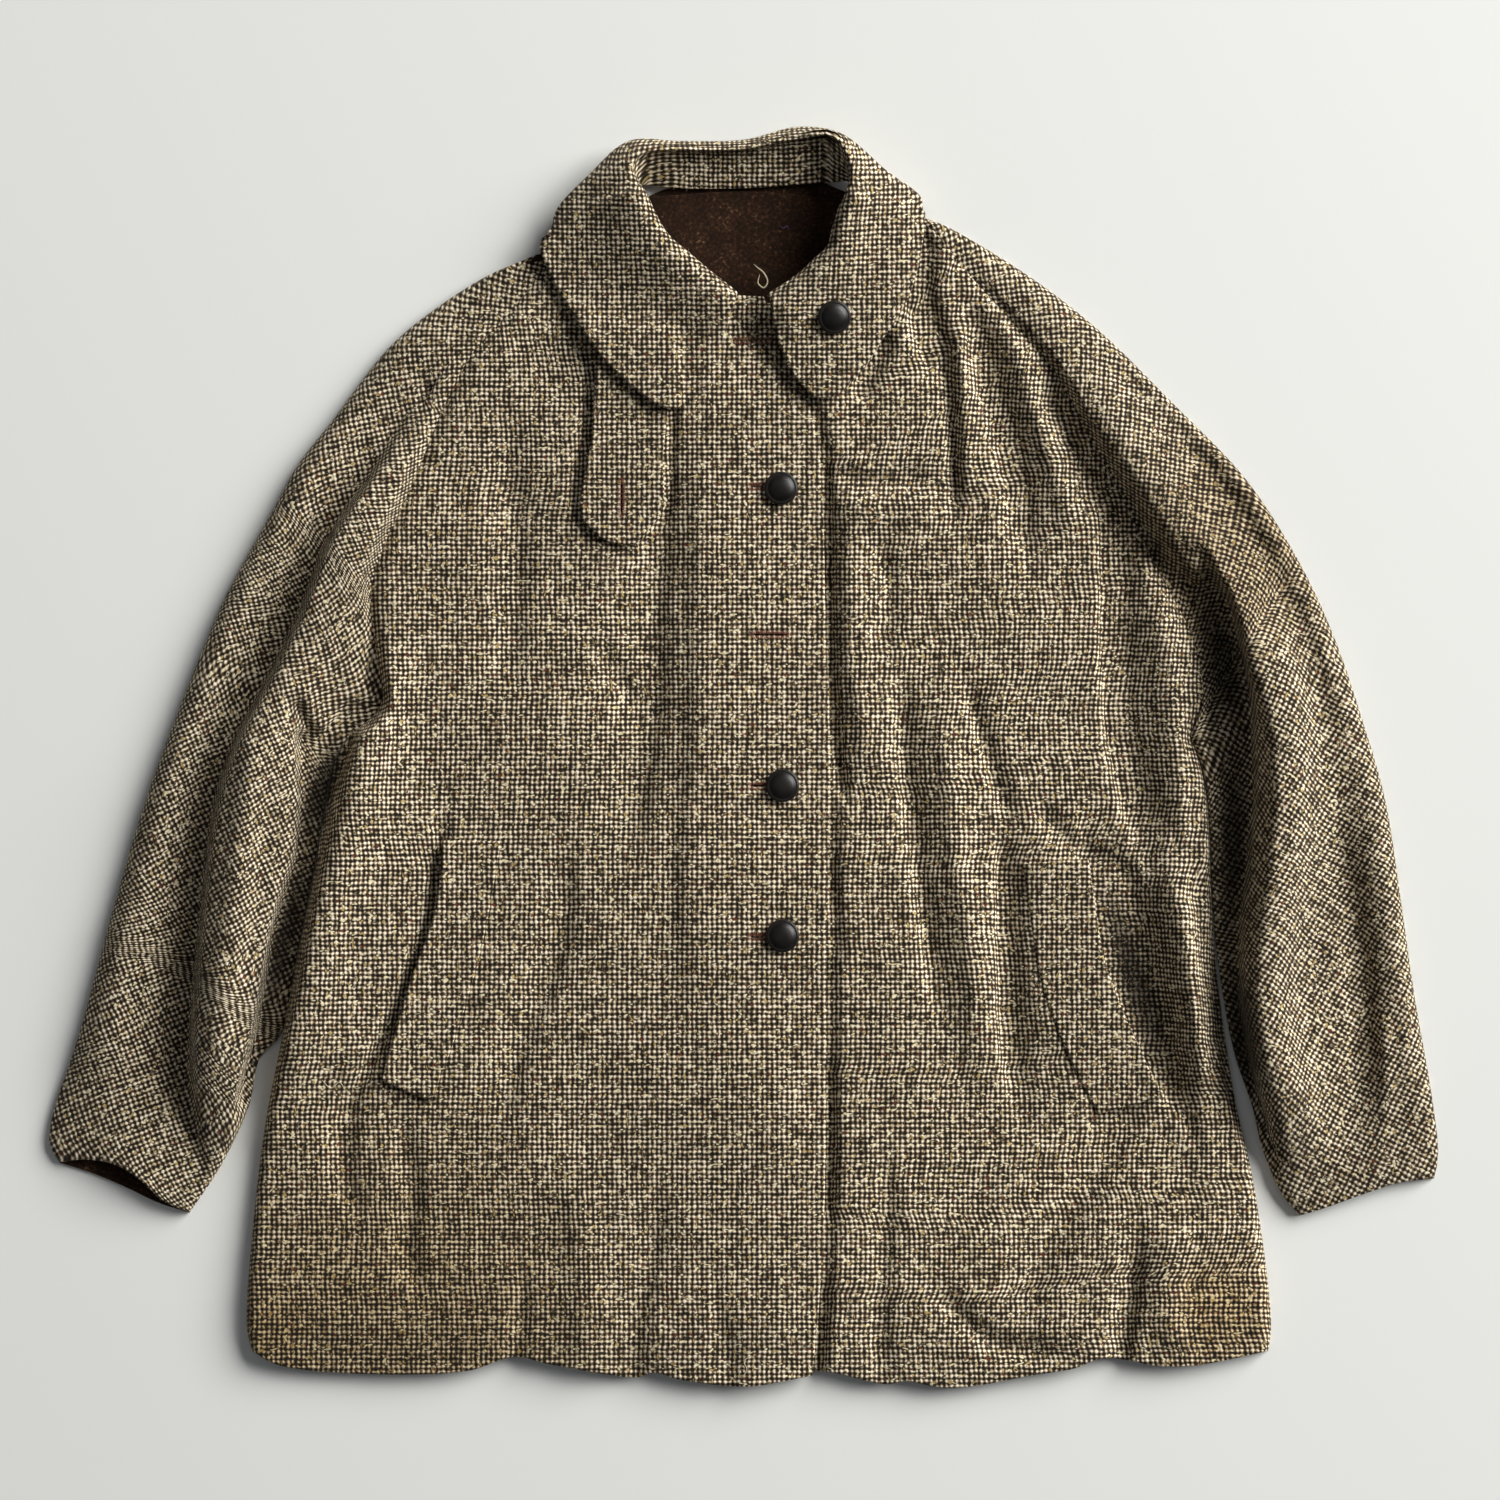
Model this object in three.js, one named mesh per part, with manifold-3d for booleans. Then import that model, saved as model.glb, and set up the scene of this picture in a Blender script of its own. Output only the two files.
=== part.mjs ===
// A reversible wool coat, buttoned once at the collar, laid flat on its back with the front up.
// Millimetres, +X to the wearer's left, +Y towards the collar, +Z up from the surface it lies on.
import * as THREE from "three";
import { mergeVertices } from "three/addons/utils/BufferGeometryUtils.js";
import Module from "manifold-3d";

// Driving dimensions
const cloth = 3.2;           // double cloth: tweed outside, felted brown wool inside
const collarCloth = 4;       // the collar is two layers, pressed
const liningCloth = 1.6;     // the brown wool layer alone
const seamGap = 0.3;         // between pieces that touch
const bodyLevel = 13.5;      // top of the front where no fold lifts it
const sleeveLevel = 11;
const seamLevel = 10.5;      // the raglan seams are drawn in a little
const armpitDrop = 3.5;      // and sink towards the armpit
const edgeLevel = cloth + seamGap;   // where a rolled edge meets the back
const lowestLevel = edgeLevel + cloth; // the deepest a trough can lie
const sideRoll = 7;          // how far in from the side the cloth starts to turn down
const sleeveRoll = 15;
const hemSettle = 2.2;       // the front sinks on to the back along the hem
const frontOverlap = 55;     // the left front runs on under the right one
const eyeHeight = 1960;      // the outlines below are as seen from here, over the middle
const eyeOver = { x: 4, y: 5 };
const laidMiddle = { x: 0.2, y: 0.5 }; // brings the middle of the coat's extent to the origin
const panelWidth = 370;      // of a front, and of a sleeve: only for the spacing of their columns
const sleeveWidth = 190;
const panelColumns = 15;
const sleeveUnderRoll = 7;   // how far in from the seam under the arm the sleeve turns down
const cuffLevel = 8.2;       // top of a cuff where it doesn't gape
const cuffGape = { right: 8.5, left: 1.5 };
const cuffReach = 3.4;       // rows over which a cuff rises to its sleeve
const hemPlace = -433;       // where the hem lies, on average
const collarRoll = 7;        // from the roll's inner edge to its top
const collarRaise = 4.5;     // of the sections that lie on the fronts
const collarLift = 0.8;      // the fall lies this far off the front
const laidLift = 0.5;        // a welt or tab lies this far off the front
const laidDip = 2;           // and follows its troughs no deeper than this
const tabCover = 4;          // and the collar over the tab this much higher, with the seam's gap
const buttonWidth = 23;
const buttonHeight = 6.6;
const buttonSides = 20;
const buttonholeWidth = 1.3;
const buttonholeLength = 25;
const slitDepth = 40;        // of the cut, more than any wall

// Outlines in plan, each from its upper end to its lower end
const rightRaglan = [
  { x: -72, y: 390 }, { x: -137, y: 342 }, { x: -164, y: 311 }, { x: -189, y: 284 }, { x: -208, y: 250 },
  { x: -227, y: 204 }, { x: -240, y: 174 }, { x: -252, y: 148 }, { x: -261, y: 116 }, { x: -257, y: 70 },
  { x: -254, y: 37 }, { x: -276, y: 15 },
];
const rightSide = [
  { x: -276, y: 15 }, { x: -286, y: -2 }, { x: -292, y: -30 }, { x: -302, y: -86 }, { x: -313, y: -142 },
  { x: -323, y: -194 }, { x: -335, y: -256 }, { x: -343, y: -320 }, { x: -348, y: -400 }, { x: -344, y: -417 },
];
const leftRaglan = [
  { x: 80, y: 385 }, { x: 110, y: 378 }, { x: 131, y: 370 }, { x: 154, y: 342 }, { x: 188, y: 304 }, { x: 218, y: 269 },
  { x: 244, y: 220 }, { x: 267, y: 176 }, { x: 292, y: 126 }, { x: 312, y: 89 }, { x: 320, y: 59 },
  { x: 321, y: 40 }, { x: 312, y: 14 },
];
const leftSide = [
  { x: 312, y: 14 }, { x: 319, y: -4 }, { x: 324, y: -30 }, { x: 328, y: -114 }, { x: 333, y: -169 },
  { x: 344, y: -241 }, { x: 355, y: -289 }, { x: 366, y: -361 }, { x: 369, y: -400 }, { x: 367, y: -416 },
];
const rightHem = [
  { x: -344, y: -417 }, { x: -325, y: -426 }, { x: -260, y: -432 }, { x: -195, y: -430 }, { x: -160, y: -420 },
  { x: -137, y: -425 }, { x: -76, y: -434 }, { x: -64, y: -431 }, { x: -44, y: -436 }, { x: 2, y: -441 },
  { x: 22, y: -438 }, { x: 48, y: -433 },
];
const leftHem = [
  { x: -4, y: -431 }, { x: 54, y: -430 }, { x: 100, y: -439 }, { x: 113, y: -437 }, { x: 144, y: -442 },
  { x: 201, y: -433 }, { x: 232, y: -428 }, { x: 247, y: -422 }, { x: 262, y: -421 }, { x: 287, y: -426 },
  { x: 316, y: -426 }, { x: 367, y: -416 },
];
const frontEdge = [
  { x: 14, y: 322 }, { x: 28, y: 285 }, { x: 43, y: 253 }, { x: 52, y: 215 }, { x: 55, y: 176 },
  { x: 57, y: 100 }, { x: 60, y: 0 }, { x: 58, y: -100 }, { x: 57, y: -289 }, { x: 54, y: -363 }, { x: 48, y: -433 },
];
const rightNeck = [
  { x: -72, y: 390 }, { x: -64, y: 371 }, { x: -43, y: 350 }, { x: -14, y: 326 }, { x: 14, y: 322 },
];
const leftNeck = [
  { x: -24, y: 316 }, { x: 18, y: 318 }, { x: 40, y: 333 }, { x: 62, y: 352 }, { x: 72, y: 372 }, { x: 80, y: 385 },
];
const rightSleeveOuter = [
  { x: -136, y: 350 }, { x: -171, y: 341 }, { x: -220, y: 311 }, { x: -250, y: 285 }, { x: -287, y: 237 },
  { x: -312, y: 205 }, { x: -332, y: 169 }, { x: -364, y: 110 }, { x: -393, y: 40 }, { x: -419, y: -30 },
  { x: -440, y: -100 }, { x: -467, y: -198 }, { x: -485, y: -254 }, { x: -486, y: -272 }, { x: -479, y: -284 },
];
const rightSleeveUnder = [
  { x: -276, y: 15 }, { x: -286.5, y: -2 }, { x: -292.5, y: -30 }, { x: -302.5, y: -86 }, { x: -313.5, y: -142 },
  { x: -324, y: -194 }, { x: -339, y: -211 }, { x: -346, y: -243 }, { x: -366, y: -286 }, { x: -388, y: -319 },
];
const rightCuff = [
  { x: -479, y: -284 }, { x: -462, y: -282 }, { x: -442, y: -285 }, { x: -424, y: -295 }, { x: -406, y: -311 },
  { x: -388, y: -319 },
];
const rightCuffUnder = [
  { x: -479, y: -284 }, { x: -457, y: -291 }, { x: -433, y: -301 }, { x: -410, y: -312 }, { x: -388, y: -319 },
];
const leftSleeveOuter = [
  { x: 106, y: 383 }, { x: 136, y: 374 }, { x: 154, y: 365 }, { x: 202, y: 335 }, { x: 247, y: 300 }, { x: 300, y: 248 },
  { x: 351, y: 195 }, { x: 388, y: 138 }, { x: 414, y: 82 }, { x: 433, y: 26 }, { x: 449, y: -30 },
  { x: 460, y: -100 }, { x: 470, y: -170 }, { x: 482, y: -240 }, { x: 486, y: -280 }, { x: 483, y: -295 },
];
const leftSleeveUnder = [
  { x: 312, y: 14 }, { x: 319.5, y: -4 }, { x: 324.5, y: -30 }, { x: 328.5, y: -114 }, { x: 334, y: -160 },
  { x: 343, y: -207 }, { x: 356, y: -246 }, { x: 363, y: -275 }, { x: 377, y: -307 }, { x: 389, y: -321 },
];
const leftCuff = [
  { x: 483, y: -295 }, { x: 459, y: -298 }, { x: 431, y: -307 }, { x: 403, y: -317 }, { x: 389, y: -321 },
];
const backNeck = [{ x: -72, y: 390 }, { x: -54, y: 398 }, { x: 0, y: 401 }, { x: 56, y: 402 }, { x: 80, y: 385 }];

// Folds: a path in plan, its height (below nought for a trough), its half width, and how square its flanks are.
// lean above nought makes the flank on the left of the path, seen along it, the gentler one.
const bodyFolds = [
  { high: 4.3, wide: 27.5, power: 2, lean: 0.67,
    path: [{ x: -28, y: 222 }, { x: -30, y: 152 }, { x: -31, y: 82 }, { x: -32, y: 12 }, { x: -38, y: -72 },
      { x: -35, y: -170 }] },
  { high: -7, wide: 12.5, power: 2, lean: -0.36,
    path: [{ x: -48, y: 201 }, { x: -50, y: 152 }, { x: -53, y: 96 }, { x: -53, y: 40 }, { x: -64, y: -16 },
      { x: -73, y: -72 }] },
  { high: -5.1, wide: 12.5, power: 2, lean: -0.36,
    path: [{ x: -125, y: -65 }, { x: -127, y: -121 }, { x: -139, y: -160 }, { x: -157, y: -205 },
      { x: -171, y: -254 }] },
  { high: -4.6, wide: 8, power: 2, lean: -0.25,
    path: [{ x: -239, y: -254 }, { x: -231, y: -303 }, { x: -235, y: -338 }, { x: -227, y: -373 }] },
  { high: -4.3, wide: 9.5, power: 2, lean: -0.16,
    path: [{ x: -274, y: -233 }, { x: -280, y: -275 }, { x: -272, y: -324 }] },
  { high: 4.6, wide: 24, power: 2, lean: 0.08,
    path: [{ x: -246, y: 19 }, { x: -256, y: -65 }, { x: -274, y: -156 }, { x: -290, y: -240 }] },
  { high: -6.8, wide: 6.5, power: 2, lean: -0.23,
    path: [{ x: -154, y: -359 }, { x: -156, y: -401 }, { x: -160, y: -450 }] },
  { high: -6.8, wide: 9.5, power: 2, lean: -0.37,
    path: [{ x: -59, y: -303 }, { x: -64, y: -345 }, { x: -73, y: -387 }, { x: -78, y: -450 }] },
  { high: -4.6, wide: 7.5, power: 2, lean: -0.2,
    path: [{ x: -20, y: -373 }, { x: -13, y: -415 }, { x: -8, y: -464 }] },
  { high: -13.5, wide: 7, power: 2, lean: 0.29,
    path: [{ x: 125, y: 372 }, { x: 119, y: 334 }, { x: 125, y: 299 }, { x: 132, y: 271 }] },
  { high: -10.8, wide: 10, power: 2, lean: 0.2,
    path: [{ x: 154, y: 320 }, { x: 169, y: 264 }, { x: 185, y: 215 }, { x: 192, y: 166 },
      { x: 197, y: 138 }] },
  { high: 4.9, wide: 8.5, power: 2, lean: 0.06,
    path: [{ x: 186, y: 299 }, { x: 202, y: 250 }, { x: 218, y: 201 }, { x: 230, y: 159 }] },
  { high: -6.8, wide: 9, power: 2, lean: -0.11,
    path: [{ x: 207, y: 264 }, { x: 227, y: 229 }, { x: 246, y: 187 }, { x: 262, y: 148 }] },
  { high: -10.8, wide: 12, power: 2.2, lean: 0.67,
    path: [{ x: 253, y: 180 }, { x: 253, y: 131 }, { x: 253, y: 75 }, { x: 256, y: 26 }, { x: 263, y: -16 },
      { x: 277, y: -65 }] },
  { high: 6.8, wide: 12, power: 2, lean: -0.33,
    path: [{ x: 291, y: 117 }, { x: 300, y: 54 }, { x: 305, y: -2 }, { x: 312, y: -79 }] },
  { high: -9.5, wide: 6.5, power: 2, lean: 0.23,
    path: [{ x: 99, y: 299 }, { x: 90, y: 276 }, { x: 76, y: 251 }] },
  { high: -5.4, wide: 7, power: 2, lean: -0.29,
    path: [{ x: 64, y: 198 }, { x: 95, y: 192 }, { x: 129, y: 201 }] },
  { high: 4.9, wide: 11, power: 2, lean: -0.27,
    path: [{ x: 74, y: 172 }, { x: 110, y: 177 }, { x: 137, y: 176 }] },
  { high: -6.8, wide: 7.5, power: 2, lean: 0.33,
    path: [{ x: 109, y: 54 }, { x: 112, y: -9 }, { x: 120, y: -72 }, { x: 127, y: -121 },
      { x: 134, y: -177 }] },
  { high: 4.9, wide: 11, power: 2, lean: 0.09,
    path: [{ x: 140, y: 40 }, { x: 148, y: -58 }, { x: 160, y: -142 }, { x: 165, y: -226 }] },
  { high: -4.9, wide: 6, power: 2, lean: 0.5,
    path: [{ x: 153, y: 54 }, { x: 168, y: 5 }, { x: 183, y: -44 }] },
  { high: -8.6, wide: 9.5, power: 2.2, lean: 0.58,
    path: [{ x: 179, y: -51 }, { x: 180, y: -114 }, { x: 181, y: -184 }, { x: 189, y: -247 }] },
  { high: -5.9, wide: 17, power: 2, lean: -0.18,
    path: [{ x: 273, y: -212 }, { x: 260, y: -261 }, { x: 232, y: -310 }, { x: 204, y: -359 },
      { x: 186, y: -401 }] },
  { high: -5.7, wide: 7.5, power: 2, lean: 0.07,
    path: [{ x: 134, y: -373 }, { x: 160, y: -401 }, { x: 186, y: -415 }, { x: 221, y: -416 }] },
  { high: -6.8, wide: 7.5, power: 2, lean: -0.2,
    path: [{ x: 277, y: -338 }, { x: 270, y: -380 }, { x: 263, y: -436 }] },
  { high: -5.1, wide: 7, power: 2, lean: -0.14,
    path: [{ x: 99, y: -275 }, { x: 99, y: -331 }, { x: 95, y: -387 }, { x: 98, y: -450 }] },
];
const pocketMouth = { high: -11, wide: 17.5, power: 2.2, lean: 0.6,
    path: [{ x: 238, y: -65 }, { x: 248, y: -118 }, { x: 263, y: -160 }, { x: 281, y: -202 },
      { x: 302, y: -247 }] };
const rightSleeveFolds = [
  { high: 8, wide: 22, power: 2, lean: -0.09,
    path: [{ x: -227, y: 299 }, { x: -290, y: 229 }, { x: -337, y: 152 }, { x: -377, y: 68 },
      { x: -409, y: -30 }, { x: -433, y: -135 }, { x: -451, y: -233 }, { x: -465, y: -310 }] },
  { high: 22, wide: 19.75, power: 3, lean: 0.72,
    path: [{ x: -227, y: 243 }, { x: -259, y: 191 }, { x: -287, y: 149 }, { x: -302, y: 107 },
      { x: -318, y: 74 }, { x: -337, y: 36 }, { x: -354, y: 2 }, { x: -365, y: -37 }, { x: -372, y: -86 },
      { x: -377, y: -142 }, { x: -381, y: -191 }, { x: -379, y: -240 }, { x: -370, y: -296 }] },
  { high: -6, wide: 9, power: 2, lean: -0.56,
    path: [{ x: -246, y: 216 }, { x: -276, y: 181 }, { x: -300, y: 141 }, { x: -314, y: 102 },
      { x: -330, y: 65 }, { x: -350, y: 29 }, { x: -370, y: -16 }, { x: -378, y: -65 }, { x: -384, y: -121 },
      { x: -390, y: -177 }, { x: -392, y: -226 }, { x: -379, y: -289 }] },
  { high: -10, wide: 5, power: 2, lean: -0.2,
    path: [{ x: -260, y: 138 }, { x: -255, y: 96 }, { x: -258, y: 61 }, { x: -252, y: 36 }] },
  { high: -36, wide: 10, power: 5, lean: 0.2,
    path: [{ x: -274, y: 31 }, { x: -290, y: 6 }, { x: -298, y: -23 }, { x: -303, y: -58 },
      { x: -308, y: -90 }] },
  { high: -36, wide: 8.5, power: 5, lean: -0.06,
    path: [{ x: -314, y: -97 }, { x: -319, y: -121 }, { x: -323, y: -149 }, { x: -329, y: -181 },
      { x: -337, y: -209 }, { x: -347, y: -247 }] },
  { high: -10, wide: 3.75, power: 2, lean: 0.07,
    path: [{ x: -315, y: 40 }, { x: -307, y: 24 }, { x: -295, y: 4 }] },
];
const leftSleeveFolds = [
  { high: 6, wide: 23, power: 2, lean: 0.13,
    path: [{ x: 193, y: 346 }, { x: 270, y: 292 }, { x: 340, y: 208 }, { x: 389, y: 117 }, { x: 426, y: 26 },
      { x: 449, y: -86 }, { x: 466, y: -184 }, { x: 473, y: -261 }] },
  { high: 23, wide: 20, power: 2.6, lean: 0.35,
    path: [{ x: 221, y: 306 }, { x: 263, y: 267 }, { x: 308, y: 215 }, { x: 343, y: 160 },
      { x: 367, y: 103 }, { x: 381, y: 40 }, { x: 385, y: -30 }, { x: 378, y: -100 }, { x: 371, y: -163 },
      { x: 381, y: -226 }, { x: 400, y: -289 }, { x: 410, y: -331 }] },
  { high: -5.4, wide: 11, power: 2, lean: -0.18,
    path: [{ x: 414, y: -44 }, { x: 427, y: -114 }, { x: 434, y: -184 }, { x: 430, y: -240 },
      { x: 410, y: -289 }] },
  { high: -6, wide: 10.5, power: 2, lean: 0.33,
    path: [{ x: 211, y: 257 }, { x: 242, y: 215 }, { x: 267, y: 169 }, { x: 295, y: 121 },
      { x: 323, y: 96 }] },
  { high: -36, wide: 13, power: 5, lean: -0.08,
    path: [{ x: 314, y: 138 }, { x: 335, y: 82 }, { x: 341, y: 26 }, { x: 342, y: -30 }, { x: 340, y: -72 },
      { x: 337, y: -114 }] },
  { high: -36, wide: 7.5, power: 4, lean: -0.07,
    path: [{ x: 337, y: -58 }, { x: 335, y: -114 }, { x: 333, y: -149 }, { x: 343, y: -198 },
      { x: 354, y: -240 }, { x: 367, y: -282 }] },
  { high: 9, wide: 4.5, power: 2, lean: 0,
    path: [{ x: 316, y: 117 }, { x: 335, y: 82 }, { x: 336, y: 40 }, { x: 333, y: -2 },
      { x: 337, y: -44 }] },
];

// The collar: a row for each section, from its right front end round the neck to its left front end.
// seam is sewn to the neck, roll is the inner edge of the fold with the height of its top,
// mid and low lie on the fall, and edge is the fall's own edge, turned under behind the neck.
const collarSections = [
  { seam: [-7, 320, 16.5], roll: [-4, 325, 25], mid: [-15, 289, 18], low: [-26, 261, 17], edge: [-47, 243, 15.5] },
  { seam: [-13, 326, 16.5], roll: [-10, 330, 25.5], mid: [-33, 288, 18], low: [-48, 260, 17], edge: [-62, 247, 15.5] },
  { seam: [-27, 337, 16.5], roll: [-24, 341, 27], mid: [-50, 299, 18], low: [-66, 275, 17], edge: [-78, 259, 15.5] },
  { seam: [-41, 349, 16.5], roll: [-38, 353, 30], mid: [-69, 315, 19], low: [-86, 292, 17], edge: [-98, 278, 15.5] },
  { seam: [-55, 361, 16.5], roll: [-52, 365, 31.5], mid: [-86, 336, 21], low: [-105, 319, 17], edge: [-118, 306, 15.5] },
  { seam: [-64, 375, 16.5], roll: [-61, 379, 34.5], mid: [-98, 358, 23], low: [-120, 344, 17], edge: [-134, 334, 15] },
  { seam: [-71, 391, 16.5], roll: [-68, 394, 37.5], mid: [-107, 380, 24], low: [-130, 369, 18], edge: [-143, 360, 15.5] },
  { seam: [-74, 398, 13], roll: [-74, 404, 35], mid: [-109, 397, 25], low: [-133, 379, 15], edge: [-128, 371, 2] },
  { seam: [-72, 400, 10], roll: [-77, 412, 34], mid: [-96, 413, 27], low: [-109, 407, 15], edge: [-102, 398, 2] },
  { seam: [-66, 400, 7.6], roll: [-69, 421, 31], mid: [-76, 429, 25], low: [-81, 431, 14], edge: [-76, 420, 2] },
  { seam: [-48, 398, 7.2], roll: [-46, 422, 27], mid: [-45, 429, 21], low: [-45, 431, 12], edge: [-45, 419, 2] },
  { seam: [0, 398, 7.2], roll: [0, 423, 25], mid: [0, 430, 20], low: [0, 432, 12], edge: [0, 420, 2] },
  { seam: [34, 400, 7.2], roll: [36, 430, 27], mid: [38, 438, 21], low: [38, 441, 12], edge: [37, 428, 2] },
  { seam: [60, 402, 8], roll: [61, 432, 31], mid: [65, 437, 24], low: [68, 436, 14], edge: [62, 426, 2] },
  { seam: [74, 402, 11], roll: [72, 415, 34], mid: [88, 416, 26], low: [101, 409, 15], edge: [94, 401, 2] },
  { seam: [76, 396, 13.6], roll: [73, 404, 36], mid: [101, 400, 27], low: [124, 391, 15], edge: [123, 389, 4] },
  { seam: [74, 387, 16.5], roll: [71, 395, 38.5], mid: [101, 386, 25], low: [118, 380, 18], edge: [127, 376, 13] },
  { seam: [69, 376, 16.5], roll: [66, 384, 36.5], mid: [97, 371, 23], low: [114, 363, 18], edge: [125, 357, 15] },
  { seam: [64, 364, 16.5], roll: [62, 371, 34.5], mid: [92, 354, 22], low: [109, 344, 18], edge: [121, 338, 15.5] },
  { seam: [60, 352, 16.5], roll: [58, 358, 31.5], mid: [88, 337, 21], low: [104, 325, 17], edge: [114, 319, 15.5] },
  { seam: [52, 344, 16.5], roll: [50, 350, 30], mid: [77, 321, 20], low: [91, 304, 17], edge: [99, 295, 15.5] },
  { seam: [39, 332, 16.5], roll: [37, 338, 27], mid: [62, 303, 18.5], low: [76, 282, 17], edge: [84, 272, 15.5] },
  { seam: [26, 323, 16.5], roll: [24, 329, 25.5], mid: [42, 290, 18], low: [55, 266, 17], edge: [65, 253, 15.5] },
  { seam: [18, 320, 16.5], roll: [17, 325, 25], mid: [22, 297, 18], low: [34, 268, 17], edge: [50, 251, 15.5] },
];

const throatTab = {
  left: [{ x: -104, y: 292 }, { x: -105, y: 250 }, { x: -107, y: 222 }, { x: -112, y: 197 }, { x: -115, y: 176 },
    { x: -112, y: 165 }],
  right: [{ x: -52, y: 282 }, { x: -54, y: 236 }, { x: -57, y: 208 }, { x: -56, y: 183 }, { x: -60, y: 168 },
    { x: -66, y: 160 }],
  tip: [{ x: -112, y: 165 }, { x: -101, y: 154 }, { x: -83, y: 148 }, { x: -73, y: 151 }, { x: -66, y: 160 }],
};
const welts = [
  { name: "right_pocket_welt", open: [{ x: -211, y: -58 }, { x: -216, y: -106 }, { x: -234, y: -158 }, { x: -254, y: -226 }],
    seam: [{ x: -170, y: -59 }, { x: -183, y: -130 }, { x: -199, y: -187 }, { x: -219, y: -242 }] },
  { name: "left_pocket_welt", open: [{ x: 241, y: -71 }, { x: 253, y: -144 }, { x: 268, y: -184 }, { x: 293, y: -238 }],
    seam: [{ x: 195, y: -75 }, { x: 209, y: -161 }, { x: 230, y: -216 }, { x: 248, y: -250 }] },
];
const frontButtons = [{ x: 26, y: 188 }, { x: 27, y: -20 }, { x: 27, y: -125 }];
const collarButton = { x: 63, y: 308 };
const frontButtonholes = [{ x: 6, y: 290 }, { x: 16, y: 188 }, { x: 18, y: 85 }, { x: 16, y: -20 }, { x: 16, y: -125 }];
const tabButtonhole = { x: -85, y: 180 };

// Colours
const tweedColour = "#79705c";
const tweedSleeveColour = "#6e6553";
const liningColour = "#2e1e14";
const buttonColour = "#1d1a16";

const flat = (point) => new THREE.Vector3(point.x, point.y, 0);

// Points along a smooth line through a table of places, evenly spaced.
function along(table, count) {
  const curve = new THREE.CatmullRomCurve3(table.map(flat), false, "centripetal");
  curve.arcLengthDivisions = 400;
  return curve.getSpacedPoints(count);
}

// The same, at chosen shares of its length.
function alongAt(table, shares) {
  const curve = new THREE.CatmullRomCurve3(table.map(flat), false, "centripetal");
  curve.arcLengthDivisions = 400;
  return shares.map((share) => curve.getPointAt(share));
}

function soften(from, to, value) {
  const share = THREE.MathUtils.clamp((value - from) / (to - from), 0, 1);
  return share * share * (3 - 2 * share);
}

// Height that one fold adds at a place: its flanks fall off square to its path, and its ends fade out.
function foldHeight(fold, x, y) {
  let best = { far: Infinity, share: 0, side: 1 };
  const last = fold.line.length - 1;
  for (let step = 0; step < last; step += 1) {
    const start = fold.line[step];
    const end = fold.line[step + 1];
    const dx = end.x - start.x;
    const dy = end.y - start.y;
    const share = THREE.MathUtils.clamp(((x - start.x) * dx + (y - start.y) * dy) / (dx * dx + dy * dy), 0, 1);
    const far = Math.hypot(x - start.x - share * dx, y - start.y - share * dy);
    if (far < best.far) {
      const side = Math.sign(dx * (y - start.y) - dy * (x - start.x)) || 1;
      best = { far, share: (step + share) / last, side };
    }
  }
  const wide = fold.wide * (1 + fold.lean * best.side);
  const fade = soften(-0.08, 0.2, best.share) * soften(1.08, 0.8, best.share);
  return fold.high * fade * Math.exp(-((best.far / wide) ** fold.power));
}

function foldField(folds, base) {
  const ready = folds.map((fold) => ({ ...fold, line: along(fold.path, 24) }));
  return (x, y) => Math.max(ready.reduce((sum, fold) => sum + foldHeight(fold, x, y), base), lowestLevel);
}

const bodySurface = foldField(bodyFolds, bodyLevel);
const underSurface = foldField([...bodyFolds, pocketMouth], bodyLevel);
const rightSleeveSurface = foldField(rightSleeveFolds, sleeveLevel);
const leftSleeveSurface = foldField(leftSleeveFolds, sleeveLevel);

// A sheet of points between four edges, all given in the same sense: rows run from the first side to
// the second, and columns from the lower edge to the upper.
function sheet(firstSide, secondSide, lower, upper) {
  const share = (points) => {
    const run = [0];
    for (let k = 1; k < points.length; k += 1) {
      run.push(run[k - 1] + points[k].distanceTo(points[k - 1]));
    }
    return run.map((value) => value / run[run.length - 1]);
  };
  const across = share(lower).map((value, k) => (value + share(upper)[k]) / 2);
  const up = share(firstSide).map((value, k) => (value + share(secondSide)[k]) / 2);
  return up.map((v, j) => across.map((u, i) => {
    const point = firstSide[j].clone().multiplyScalar(1 - u).addScaledVector(secondSide[j], u);
    point.addScaledVector(lower[i], 1 - v).addScaledVector(upper[i], v);
    point.addScaledVector(lower[0], -(1 - u) * (1 - v)).addScaledVector(lower.at(-1), -u * (1 - v));
    point.addScaledVector(upper[0], -(1 - u) * v).addScaledVector(upper.at(-1), -u * v);
    return point;
  }));
}

// Normals of a sheet, from the points around each one. Side columns stand straight up where they are seams.
function sheetNormals(rows, upright) {
  return rows.map((row, j) => row.map((point, i) => {
    const right = row[Math.min(i + 1, row.length - 1)].clone().sub(row[Math.max(i - 1, 0)]);
    const above = rows[Math.min(j + 1, rows.length - 1)][i].clone().sub(rows[Math.max(j - 1, 0)][i]);
    const normal = right.cross(above).normalize();
    return upright && upright(i, j) ? new THREE.Vector3(0, 0, 1) : normal;
  }));
}

// What stands higher is nearer the middle than it looks from above.
function trueSpot(point) {
  const nearer = 1 - point.z / eyeHeight;
  return [eyeOver.x + (point.x - eyeOver.x) * nearer, eyeOver.y + (point.y - eyeOver.y) * nearer, point.z];
}

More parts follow.
